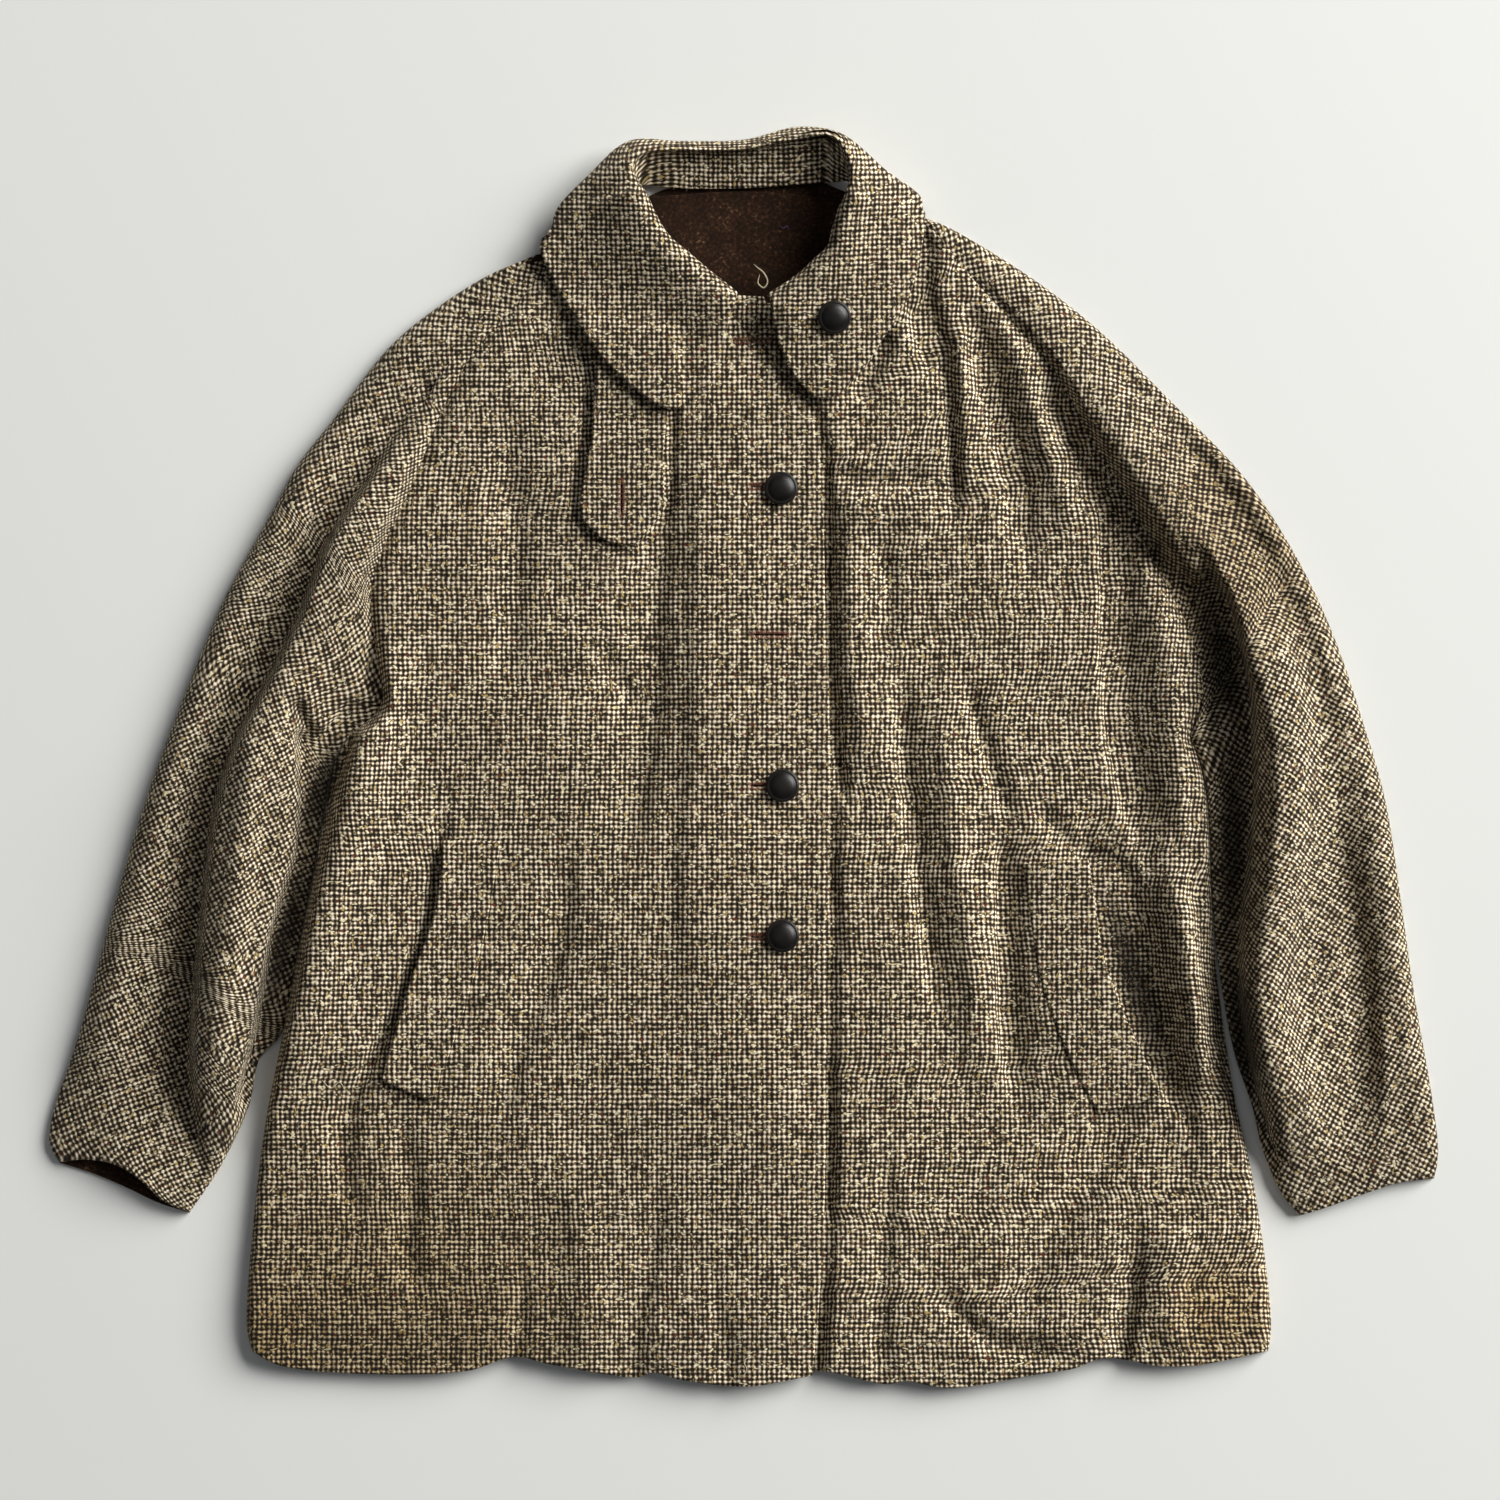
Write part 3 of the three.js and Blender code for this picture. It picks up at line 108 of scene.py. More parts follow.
# Folds: height (below nought for a trough), half width, how square the flanks are, lean, and path.
# A lean above nought makes the flank on the left of the path, seen along it, the gentler one.
# bodyFolds run through both fronts and what lies on them.
bodyFolds = [
    (4.3, 27.5, 2, 0.67, [(-28, 222), (-30, 152), (-31, 82), (-32, 12), (-38, -72), (-35, -170)]),
    (2.7, 50, 2, 0, [(11, -170), (13, -310), (14, -492)]),
    (-4.1, 26, 2, 0, [(-53, 342), (3, 316), (66, 342)]),
    (-6.4, 17, 2, -0.5, [(-54, 190), (-57, 150), (-62, 96), (-62, 40), (-72, -16), (-80, -72)]),
    (-4.1, 12.5, 2, -0.2, [(-165, 236), (-162, 180), (-160, 110), (-165, 47)]),
    (-3.5, 8, 2, -0.12, [(-102, 82), (-88, 54), (-73, 29)]),
    (-5.1, 12.5, 2, -0.36, [(-125, -65), (-127, -121), (-139, -160), (-157, -205), (-171, -254)]),
    (-4.6, 8, 2, -0.25, [(-239, -254), (-231, -303), (-235, -338), (-227, -373)]),
    (-4.3, 9.5, 2, -0.16, [(-274, -233), (-280, -275), (-272, -324)]),
    (4.6, 24, 2, 0.08, [(-246, 19), (-256, -65), (-274, -156), (-290, -240)]),
    (-3.5, 6.5, 2, -0.23, [(-154, -359), (-156, -401), (-160, -450)]),
    (-3.8, 10, 2, -0.3, [(-59, -303), (-64, -345), (-73, -387), (-78, -450)]),
    (-2.7, 8, 2, -0.12, [(-20, -373), (-13, -415), (-8, -464)]),
    (3.5, 14, 2, 0, [(-118, -296), (-111, -366), (-112, -450)]),
    (-13.5, 9.5, 2.4, 0.26, [(125, 372), (119, 334), (125, 299), (132, 271)]),
    (-6.2, 4.25, 2, 0.06, [(137, 306), (142, 264), (146, 222), (147, 166)]),
    (4.1, 5.5, 2, 0.27, [(153, 320), (153, 278), (155, 222), (158, 180)]),
    (-10.8, 10, 2, 0.2, [(154, 320), (169, 264), (185, 215), (192, 166), (197, 138)]),
    (4.9, 8.5, 2, 0.06, [(186, 299), (202, 250), (218, 201), (230, 159)]),
    (-6.8, 9, 2, -0.11, [(207, 264), (227, 229), (246, 187), (262, 148)]),
    (-10.8, 12, 2.2, 0.67, [(253, 180), (253, 131), (253, 75), (256, 26), (263, -16), (277, -65)]),
    (6.8, 12, 2, -0.33, [(291, 117), (300, 54), (305, -2), (312, -79)]),
    (-9.5, 6.5, 2, 0.23, [(99, 299), (90, 276), (76, 251)]),
    (-5.4, 7, 2, -0.29, [(64, 198), (95, 192), (129, 201)]),
    (4.9, 11, 2, -0.27, [(74, 172), (110, 177), (137, 176)]),
    (-3.5, 7, 2, 0.14, [(95, 152), (101, 117), (94, 75)]),
    (-6.8, 7.5, 2, 0.33, [(109, 54), (112, -9), (120, -72), (127, -121), (134, -177)]),
    (4.9, 11, 2, 0.09, [(140, 40), (148, -58), (160, -142), (165, -226)]),
    (-4.9, 6, 2, 0.5, [(153, 54), (168, 5), (183, -44)]),
    (-8.6, 9.5, 2.2, 0.58, [(179, -51), (180, -114), (181, -184), (189, -247)]),
    (-4.1, 7, 2, 0.14, [(207, -34), (225, -59), (252, -74)]),
    (4.1, 10.5, 2, -0.14, [(305, -100), (316, -170), (323, -240), (328, -310)]),
    (-5.9, 17, 2, -0.18, [(273, -212), (260, -261), (232, -310), (204, -359), (186, -401)]),
    (-5.7, 7.5, 2, 0.07, [(134, -373), (160, -401), (186, -415), (221, -416)]),
    (-6.8, 7.5, 2, -0.2, [(277, -338), (270, -380), (263, -436)]),
    (4.1, 13, 2, -0.08, [(302, -324), (297, -373), (305, -422)]),
    (-3.5, 7.5, 2, -0.07, [(99, -275), (99, -331), (95, -387), (98, -450)]),
]
# In the fronts alone: the pockets' mouths, the ridges beside the armpits, and the ground of collar and tab
mouths = [
    (-18, 17, 2.2, 0.76, [(238, -65), (248, -118), (263, -160), (281, -202), (302, -247)]),
    (-7, 4.5, 2, -0.33, [(-209, -37), (-217, -100), (-232, -156), (-255, -205), (-279, -251)]),
    (14, 14, 2.4, -0.45, [(302, -72), (311, -128), (316, -184), (322, -240)]),
    (2.4, 8, 2, -0.8, [(195, -60), (203, -118), (210, -162), (231, -216), (250, -262)]),
    (15, 15, 2.6, 0.5, [(-252, 80), (-264, 25), (-274, -16), (-286, -65), (-297, -107), (-306, -156),
        (-317, -198), (-330, -247)]),
    (-7, 13, 2, 0.08, [(14, 355), (13, 320), (10, 285)]),
    (-4.5, 3, 2, 0, [(-49, 253), (-50, 215), (-52, 176), (-63, 156)]),
    (-4, 3, 2, 0, [(-109, 285), (-112, 229), (-119, 180), (-109, 156)]),
]
# In the left front alone, beside the edge that laps over it
placketSags = [
    (3.4, 10, 2, 0.5, [(74, 201), (74, 138), (76, 68), (87, -23)]),
    (-12, 3, 2.4, 0.13, [(58, 201), (58, 166), (59, 96), (62, 33), (71, -30)]),
    (-3.2, 4, 2, 0.25, [(60, -65), (63, -100), (66, -142)]),
    (-7, 3.25, 2, 0.23, [(58, -212), (60, -261), (59, -324)]),
    (-8, 3.75, 2, 0.33, [(56, -366), (52, -408), (48, -464)]),
]
rightSleeveFolds = [
    (8, 22, 2, -0.09, [(-227, 299), (-290, 229), (-337, 152), (-377, 68), (-409, -30), (-433, -135),
        (-451, -233), (-465, -310)]),
    (22, 19.75, 3, 0.72, [(-227, 243), (-259, 191), (-287, 149), (-302, 107), (-318, 74), (-337, 36), (-354, 2),
        (-365, -37), (-372, -86), (-377, -142), (-381, -191), (-379, -240), (-370, -296)]),
    (12, 25, 4, 0.04, [(-325, 40), (-332, -2), (-337, -51), (-344, -100), (-354, -170), (-363, -247)]),
    (-8, 11, 2, -0.64, [(-246, 216), (-276, 181), (-300, 141), (-314, 102), (-330, 65), (-350, 29), (-370, -16),
        (-378, -65), (-384, -121), (-390, -177), (-392, -226), (-379, -289)]),
    (-10, 5, 2, -0.2, [(-260, 138), (-255, 96), (-258, 61), (-252, 36)]),
    (-36, 10, 5, 0.2, [(-274, 31), (-290, 6), (-298, -23), (-303, -58), (-308, -90)]),
    (-36, 8.5, 5, -0.06, [(-314, -97), (-319, -121), (-323, -149), (-329, -181), (-337, -209), (-347, -247)]),
    (-10, 3.75, 2, 0.07, [(-315, 40), (-307, 24), (-295, 4)]),
    (-3, 7, 2, -0.14, [(-330, -9), (-337, -58), (-340, -107), (-353, -170)]),
    (-3, 8, 2, 0, [(-213, 264), (-234, 236), (-244, 215)]),
]
leftSleeveFolds = [
    (6, 23, 2, 0.13, [(193, 346), (270, 292), (340, 208), (389, 117), (426, 26), (449, -86), (466, -184),
        (473, -261)]),
    (12, 23, 4, -0.04, [(363, 117), (372, 54), (375, -23), (367, -100), (360, -170), (371, -226), (386, -275)]),
    (20, 21, 2.6, 0.35, [(197, 300), (231, 258), (270, 208), (303, 156), (338, 100), (370, 40), (377, -30),
        (370, -100), (363, -163), (373, -226), (392, -289), (402, -331)]),
    (-4.6, 9, 2, 0.11, [(235, 299), (291, 243), (344, 180), (379, 113), (398, 54), (410, -9)]),
    (-5.4, 11, 2, -0.18, [(414, -44), (427, -114), (434, -184), (430, -240), (410, -289)]),
    (3.4, 5, 2, 0.2, [(445, -170), (449, -233), (442, -275), (424, -303)]),
    (-6, 10.5, 2, 0.33, [(211, 257), (242, 215), (267, 169), (295, 121), (323, 96)]),
    (-36, 13, 5, -0.08, [(314, 138), (335, 82), (341, 26), (342, -30), (340, -72), (337, -114)]),
    (-36, 7.5, 4, -0.07, [(337, -58), (335, -114), (333, -149), (343, -198), (354, -240), (367, -282)]),
    (9, 4.5, 2, 0, [(316, 117), (335, 82), (336, 40), (333, -2), (337, -44)]),
]

# The gaps between the sleeves and the body, from the armpit down: height in plan, left side, right side
armpitGaps = [
    [(15, -311, -274), (-2, -310, -279), (-30, -309, -291), (-65, -311, -298), (-121, -329, -312),
        (-170, -336, -320), (-205, -343, -332), (-240, -353, -341)],
    [(112, 316, 338), (40, 327, 354), (-30, 330, 356), (-100, 328, 346), (-170, 330, 346), (-240, 341, 356),
        (-289, 357, 372)],
]


# Points on a smooth line through a table of places, at shares of its knots.
def onLine(table, at):
    knots = np.asarray(table, float)
    knots = np.vstack([2 * knots[0] - knots[1], knots, 2 * knots[-1] - knots[-2]])
    spans = len(knots) - 3
    spot = np.clip(np.asarray(at, float), 0, 1) * spans
    k = np.minimum(spot.astype(int), spans - 1)
    w = (spot - k)[:, None]
    p0, p1, p2, p3 = (knots[k + step] for step in range(4))
    d0, d1, d2 = (np.sqrt(np.linalg.norm(b - a, axis=1))[:, None] for a, b in ((p0, p1), (p1, p2), (p2, p3)))
    first = ((p1 - p0) / d0 - (p2 - p0) / (d0 + d1) + (p2 - p1) / d1) * d1
    second = ((p2 - p1) / d1 - (p3 - p1) / (d1 + d2) + (p3 - p2) / d2) * d1
    bend = -3 * p1 + 3 * p2 - 2 * first - second
    return p1 + w * first + w**2 * bend + w**3 * (2 * p1 - 2 * p2 + first + second)


def runOf(points):
    return np.concatenate([[0], np.cumsum(np.linalg.norm(np.diff(points, axis=0), axis=1))])


# The same at shares of its length
def byLength(table, shares):
    places = np.linspace(0, 1, 50 * len(table))
    run = runOf(onLine(table, places))
    return onLine(table, np.interp(np.asarray(shares, float) * run[-1], run, places))


def soften(start, end, value):
    share = np.clip((value - start) / (end - start), 0, 1)
    return share * share * (3 - 2 * share)


# How far a place lies down in a gap, from 0 beside it to 1 on its floor
def depthOf(gap, x, y):
    down, left, right = np.array(gap, float)[::-1].T
    left, right = np.interp(y, down, left), np.interp(y, down, right)
    along = soften(down[-1] + 7, down[-1] - 1, y) * soften(down[0] - 12, down[0] + 12, y)
    return along * soften(left - 5, left + 1, x) * soften(right + 5, right - 1, x)


foldFades = ((-0.08, 0.2), (1.08, 0.8))     # shares of a fold's length over which its two ends fade


# The height of a cloth over its place in plan: flanks fall off square to each fold, its ends fade out,
# and the cloth dips to the floor of each gap.
def foldField(folds, base):
    lines = [byLength(fold[-1], np.linspace(0, 1, 25)) for fold in folds]

    def height(x, y):
        level = np.full(np.shape(x), base)
        for (high, wide, power, lean, _), line in zip(folds, lines):
            reach = 3 * wide
            low, top = line.min(0) - reach, line.max(0) + reach
            near = (x > low[0]) & (x < top[0]) & (y > low[1]) & (y < top[1])
            if not near.any():
                continue
            step = np.diff(line, axis=0)
            dx = x[near][:, None] - line[:-1, 0]
            dy = y[near][:, None] - line[:-1, 1]
            share = np.clip((dx * step[:, 0] + dy * step[:, 1]) / (step**2).sum(1), 0, 1)
            far = np.hypot(dx - share * step[:, 0], dy - share * step[:, 1])
            best = far.argmin(1)
            pick = np.arange(len(best))
            side = np.where(step[best, 0] * dy[pick, best] < step[best, 1] * dx[pick, best], -1.0, 1.0)
            spot = (best + share[pick, best]) / len(step)
            fade = soften(*foldFades[0], spot) * soften(*foldFades[1], spot)
            level[near] += high * fade * np.exp(-((far[pick, best] / (wide * (1 + lean * side))) ** power))
        for gap in armpitGaps:
            level = level + (lay["lowest"] - level) * depthOf(gap, x, y)
        return np.maximum(level, lay["lowest"])

    return height


# Slow, slight unevenness of cloth that has been worn
def uneven(x, y, high, longest, seed):
    rng = np.random.default_rng(seed)
    total = np.zeros(np.shape(x))
    for _ in range(9):
        turn, phase = rng.uniform(0, math.pi), rng.uniform(0, 2 * math.pi)
        wave = longest * rng.uniform(0.35, 1)
        total += np.sin(2 * math.pi * (x * math.cos(turn) + y * math.sin(turn)) / wave + phase)
    return high * total / 3


# Two scales of it together
def worn(x, y, longest, seed):
    return uneven(x, y, 0.5, longest[0], seed) + uneven(x, y, 0.35, longest[1], seed + 40)


laidSurface = foldField(bodyFolds, lay["bodyLevel"])
bodySurface = foldField(bodyFolds + mouths, lay["bodyLevel"])
underSurface = foldField(bodyFolds + mouths + placketSags, lay["bodyLevel"])
rightSleeveSurface = foldField(rightSleeveFolds, lay["sleeveLevel"])
leftSleeveSurface = foldField(leftSleeveFolds, lay["sleeveLevel"])

# Rings of points close to an edge, in millimetres from it, so that it can be rounded
edgeSteps = np.array([0, 0.05, 0.3, 0.8, 1.6, 2.6, 4, 5.8, 8])


def sharesAcross(width, spacing):
    start = edgeSteps / width
    count = max(int(round((width - 2 * edgeSteps[-1]) / spacing)), 2)
    middle = np.linspace(start[-1], 1 - start[-1], count + 1)[1:-1]
    return np.concatenate([start, middle, 1 - start[::-1]])


# A sheet of places between four edges, all given in the same sense
def sheetBetween(first, second, lower, upper):
    u = ((runOf(lower) / runOf(lower)[-1] + runOf(upper) / runOf(upper)[-1]) / 2)[None, :, None]
    v = ((runOf(first) / runOf(first)[-1] + runOf(second) / runOf(second)[-1]) / 2)[:, None, None]
    rows = first[:, None] * (1 - u) + second[:, None] * u + lower[None] * (1 - v) + upper[None] * v
    rows -= lower[0] * (1 - u) * (1 - v) + lower[-1] * u * (1 - v)
    return rows - upper[0] * (1 - u) * v - upper[-1] * u * v


def normalsOf(rows):
    padded = np.pad(rows, ((1, 1), (1, 1), (0, 0)), mode="edge")
    right = padded[1:-1, 2:] - padded[1:-1, :-2]
    above = padded[2:, 1:-1] - padded[:-2, 1:-1]
    normal = np.cross(right, above)
    return normal / np.maximum(np.linalg.norm(normal, axis=2, keepdims=True), 1e-9)


# What stands higher is nearer the middle than it looks from above. Gives metres, about the origin.
def truePlace(points):
    points = np.asarray(points, float)
    nearer = 1 - points[..., 2:3] / lay["eyeHeight"]
    over = np.array(lay["eyeOver"])
    plan = over + (points[..., :2] - over) * nearer + np.array(lay["middle"])
    return np.concatenate([plan, points[..., 2:3]], axis=-1) * mm


# How far each point of a sheet is from its four edges: first side, second side, lower, upper
def insetsOf(rows):
    across = np.cumsum(np.pad(np.linalg.norm(np.diff(rows, axis=1), axis=2), ((0, 0), (1, 0))), axis=1)
    up = np.cumsum(np.pad(np.linalg.norm(np.diff(rows, axis=0), axis=2), ((1, 0), (0, 0))), axis=0)
    return across, across[:, -1:] - across, up, up[-1:] - up


# Rounded edges: half an ellipse at a free edge, a shallower turn-in where a seam holds the edge
def fullness(rows, edges, radius):
    full = np.ones(rows.shape[:2])
    for kind, inset in zip(edges, insetsOf(rows)):
        if kind == "seam":
            inset = inset + radius * 0.5
        left = 1 - np.clip(inset / radius, 0.02, 1)
        full = np.minimum(full, np.sqrt(1 - left**2))
    return full


# Cloth coordinates in metres: plan places in the middle column, and true lengths along the rows from it
def clothMap(rows, centre):
    step = np.diff(rows, axis=1)
    length = np.linalg.norm(step, axis=2, keepdims=True)
    plan = step[:, :, :2]
    size = np.linalg.norm(plan, axis=2, keepdims=True)
    chord = (rows[:, -1:] - rows[:, :1])[..., :2]
    chord /= np.linalg.norm(chord, axis=2, keepdims=True)
    run = np.where(size > 0.3 * length, plan / np.maximum(size, 1e-6), chord) * length
    total = np.concatenate([np.zeros((len(rows), 1, 2)), np.cumsum(run, axis=1)], axis=1)
    return (total - total[:, centre:centre + 1] + rows[:, centre:centre + 1, :2]) * mm


# On a sleeve the weave runs at a slant to its own axis
def sleeveMap(rows, centre, slant):
    flatMap = clothMap(rows, centre)
    offset = flatMap - flatMap[:, centre:centre + 1]
    line = rows[:, centre, :2] * mm
    axis = np.gradient(line, axis=0)
    smooth = np.ones(25) / 25
    padded = np.pad(axis, ((12, 12), (0, 0)), mode="edge")
    axis = np.stack([np.convolve(padded[:, k], smooth, "valid") for k in (0, 1)], axis=1)
    axis /= np.linalg.norm(axis, axis=1, keepdims=True)
    run = runOf(rows[:, centre]) * mm
    along = run[:, None] + (offset * axis[:, None]).sum(2)
    aside = offset[..., 0] * axis[:, None, 1] - offset[..., 1] * axis[:, None, 0]
    turn = math.radians(slant)
    return np.stack([along * math.cos(turn) + aside * math.sin(turn),
                     aside * math.cos(turn) - along * math.sin(turn)], axis=2)


# A closed cloth: the face above its rows, the same face lowered by its thickness, and a rim that joins them
def clothPiece(name, rows, thickness, least, edges, weave, materials, upright=None):
    normal = normalsOf(rows)
    if upright is not None:
        normal[upright] = (0, 0, 1)
    half = thickness / 2
    full = fullness(rows, edges, half)[..., None]
    middle = rows - normal * half
    outer = middle + normal * half * full
    inner = middle - normal * half * full
    inner[..., 2] = np.maximum(inner[..., 2], least)
    outer[..., 2] = np.maximum(outer[..., 2], inner[..., 2] + 0.05)
    return gridPiece(name, outer, inner, weave, materials)


def linked(name, data):
    thing = bpy.data.objects.new(name, data)
    bpy.context.scene.collection.objects.link(thing)
    return thing


def newPiece(name, places, faces, materials=(), edges=(), smooth=True):
    mesh = bpy.data.meshes.new(name)
    mesh.from_pydata(places, edges, faces)
    if smooth:
        mesh.polygons.foreach_set("use_smooth", np.ones(len(faces), bool))
    for material in materials:
        mesh.materials.append(material)
    return linked(name, mesh)


def gridPiece(name, outer, inner, weave, materials):
    height, width = outer.shape[:2]
    places = np.concatenate([truePlace(outer).reshape(-1, 3), truePlace(inner).reshape(-1, 3)])
    at = np.arange(height * width).reshape(height, width)
    quads = np.stack([at[:-1, :-1], at[:-1, 1:], at[1:, 1:], at[1:, :-1]], axis=2).reshape(-1, 4)
    under = quads[:, ::-1] + height * width
    ring = np.concatenate([at[0, :-1], at[:-1, -1], at[-1, :0:-1], at[:0:-1, 0]])
    after = np.roll(ring, -1)
    rim = np.stack([ring + height * width, after + height * width, after, ring], axis=1)
    faces = np.concatenate([quads, under, rim])
    piece = newPiece(name, places.tolist(), faces.tolist(), materials)
    slots = np.zeros(len(faces), np.int32)
    slots[len(quads):len(quads) + len(under)] = len(materials) - 1
    piece.data.polygons.foreach_set("material_index", slots)
    layer = piece.data.uv_layers.new(name="weave")
    both = np.concatenate([weave.reshape(-1, 2), weave.reshape(-1, 2)])
    layer.data.foreach_set("uv", both[faces.reshape(-1)].astype(np.float32).reshape(-1))
    return piece


# Materials

def linear(code):
    shares = [int(code[k:k + 2], 16) / 255 for k in (1, 3, 5)]
    return (*[v / 12.92 if v <= 0.04045 else ((v + 0.055) / 1.055) ** 2.4 for v in shares], 1.0)


def addNode(tree, kind, settings=None, links=None):
    node = tree.nodes.new(kind)
    for key, value in (settings or {}).items():
        setattr(node, key, value)
    for socket, value in (links or {}).items():
        if isinstance(value, bpy.types.NodeSocket):
            tree.links.new(value, node.inputs[socket])
        else:
            node.inputs[socket].default_value = value
    return node


def newMaterial(name):
    material = bpy.data.materials.new(name)
    material.use_nodes = True
    material.node_tree.nodes.clear()
    return material, material.node_tree


# Gives a material its surface
def finished(material, inputs):
    shader = addNode(material.node_tree, "ShaderNodeBsdfPrincipled", {}, inputs)
    addNode(material.node_tree, "ShaderNodeOutputMaterial", {}, {"Surface": shader.outputs[0]})
    return material


def vectorMath(tree, operation, links):
    return addNode(tree, "ShaderNodeVectorMath", {"operation": operation}, links).outputs


def addTimes(tree, value, amount, total):
    return addNode(tree, "ShaderNodeMath", {"operation": "MULTIPLY_ADD"},
                   {0: value, 1: amount, 2: total}).outputs[0]


def noise(tree, vector, scale, detail=2.0, roughness=0.5, flat=False):
    return addNode(tree, "ShaderNodeTexNoise", {"noise_dimensions": "2D" if flat else "3D"}, {
        "Vector": vector, "Scale": scale, "Detail": detail, "Roughness": roughness}).outputs


def mapped(tree, value, start, end, low=0.0, high=1.0, kind="LINEAR"):
    return addNode(tree, "ShaderNodeMapRange", {"interpolation_type": kind}, {
        "Value": value, "From Min": start, "From Max": end, "To Min": low, "To Max": high}).outputs[0]


def ramp(tree, share, table):
    node = addNode(tree, "ShaderNodeValToRGB", {}, {"Fac": share})
    stops = node.color_ramp.elements
    while len(stops) < len(table):
        stops.new(0.5)
    for stop, (place, code) in zip(stops, table):
        stop.position = place
        stop.color = linear(code)
    return node.outputs["Color"]


def bump(tree, height, strength, distance):
    return addNode(tree, "ShaderNodeBump", {}, {
        "Height": height, "Strength": strength, "Distance": distance * mm}).outputs[0]


tweedLook = {
    "repeat": 3.5,           # of the small check, in millimetres: two thin threads each way
    "waver": (0.4, 0.4, 0),  # how far the threads stray, in repeats
    "levels": (0.55, 2.75),
    "colours": [(0.14, "#080502"), (0.35, "#2a1f14"), (0.52, "#645641"), (0.68, "#ab9a7f"), (0.9, "#fdf0d9")],
    # stretch and strength of the tones: of each yarn across and along, of each dot, and of patches
    "tones": [((0.9, 0.07, 1), 0.6), ((0.07, 0.9, 1), 0.6), ((1.3, 1.3, 1), 1.2), ((0.42, 0.42, 1), 0.9)],
    # slubs and flecks, each lying along a yarn: colour, stretch, start and end of the mask, offset
    "flecks": [("#e9dcb4", (0.7, 1.3, 1), 0.765, 0.80, 3.1), ("#b39a62", (1.3, 0.8, 1), 0.775, 0.81, 7.7),
               ("#17110a", (0.9, 1.2, 1), 0.765, 0.80, 11.3), ("#5e2a1c", (0.9, 1.0, 1), 0.82, 0.84, 17.9)],
    "cloud": 0.08,           # how far the tone strays, as a share
}


# Tweed: carded wool in a small check of pale and dark yarns, thick and thin by turns, with a soft nap.
# The yarns give pale dots on a dark ground, with slubs of cream and flecks of black and rust.
def tweed(name, tone, marks=()):
    material, tree = newMaterial(name)
    weave = addNode(tree, "ShaderNodeUVMap", {"uv_map": "weave"})
    threads = vectorMath(tree, "SCALE", {0: weave.outputs[0], "Scale": 1 / (tweedLook["repeat"] * mm)})[0]
    waver = noise(tree, threads, 0.45, flat=True)["Color"]
    shift = vectorMath(tree, "MULTIPLY_ADD", {0: waver, 1: tweedLook["waver"], 2: threads})[0]
    turns = vectorMath(tree, "SCALE", {0: shift, "Scale": 2 * math.pi})[0]
    swing = vectorMath(tree, "SINE", {0: turns})[0]
    total = vectorMath(tree, "DOT_PRODUCT", {0: swing, 1: (0.5, 0.5, 0)})["Value"]
    for stretch, amount in tweedLook["tones"]:
        streak = vectorMath(tree, "MULTIPLY", {0: shift, 1: stretch})[0]
        total = addTimes(tree, noise(tree, streak, 1.0, 1.0, 0.6, flat=True)["Fac"], amount, total)
    colour = ramp(tree, mapped(tree, total, *tweedLook["levels"]), tweedLook["colours"])
    for code, stretch, start, end, offset in tweedLook["flecks"]:
        spot = vectorMath(tree, "MULTIPLY_ADD", {0: shift, 1: stretch, 2: (offset, offset * 2, 0)})[0]
        mask = mapped(tree, noise(tree, spot, 1.0, 0.0, flat=True)["Fac"], start, end, 0, 0.85, "SMOOTHSTEP")
        colour = addNode(tree, "ShaderNodeMix", {"data_type": "RGBA"},
                         {"Factor": mask, 6: colour, 7: linear(code)}).outputs[2]
    # worn and washed cloth is never one tone
    place = addNode(tree, "ShaderNodeTexCoord").outputs["Object"]
    shade = mapped(tree, noise(tree, place, 9.0, 3.0)["Fac"], 0.3, 0.7, tone * (1 - tweedLook["cloud"]),
                   tone * (1 + tweedLook["cloud"]))
    colour = vectorMath(tree, "SCALE", {0: colour, "Scale": shade})[0]
    # Each mark multiplies the colour within an ellipse: stains, and painted shade in the armpits and a pocket's
    # mouth
    for (x, y), (wide, long), turn, code, strength in marks:
        spot = addNode(tree, "ShaderNodeMapping", {"vector_type": "TEXTURE"}, {
            "Vector": place, "Location": (x * mm, y * mm, 0), "Rotation": (0, 0, math.radians(turn)),
            "Scale": (wide * mm, long * mm, 0.2)})
        far = vectorMath(tree, "LENGTH", {0: spot.outputs[0]})["Value"]
        mask = mapped(tree, far, 1.0, 0.2, 0, strength, "SMOOTHSTEP")
        colour = addNode(tree, "ShaderNodeMix", {"data_type": "RGBA", "blend_type": "MULTIPLY"},
                         {"Factor": mask, 6: colour, 7: linear(code)}).outputs[2]
    relief = addTimes(tree, noise(tree, threads, 5.0, flat=True)["Fac"], 0.5, total)
    return finished(material, {
        "Base Color": colour, "Roughness": 0.95, "IOR": 1.45, "Specular IOR Level": 0.25, "Sheen Weight": 0.18,
        "Sheen Roughness": 0.6, "Sheen Tint": linear("#d9ccb4"), "Normal": bump(tree, relief, 0.55, 0.45)})


# Felted wool: fulled until no thread shows, dark brown, with paler fibres lying over it
def feltedWool(name):
    material, tree = newMaterial(name)
    place = addNode(tree, "ShaderNodeTexCoord").outputs["Object"]
    fibre = noise(tree, place, 420.0, 3.0, 0.65)["Fac"]
    total = addTimes(tree, noise(tree, place, 60.0)["Fac"], 0.45, fibre)
    colour = ramp(tree, mapped(tree, total, 0.48, 0.98),
                  [(0, "#0b0502"), (0.45, "#22130a"), (0.78, "#3a2416"), (1, "#705843")])
    return finished(material, {
        "Base Color": colour, "Roughness": 0.97, "IOR": 1.45, "Specular IOR Level": 0.2, "Sheen Weight": 0.2,
        "Sheen Roughness": 0.7, "Sheen Tint": linear("#8c705a"), "Normal": bump(tree, fibre, 0.5, 0.5)})


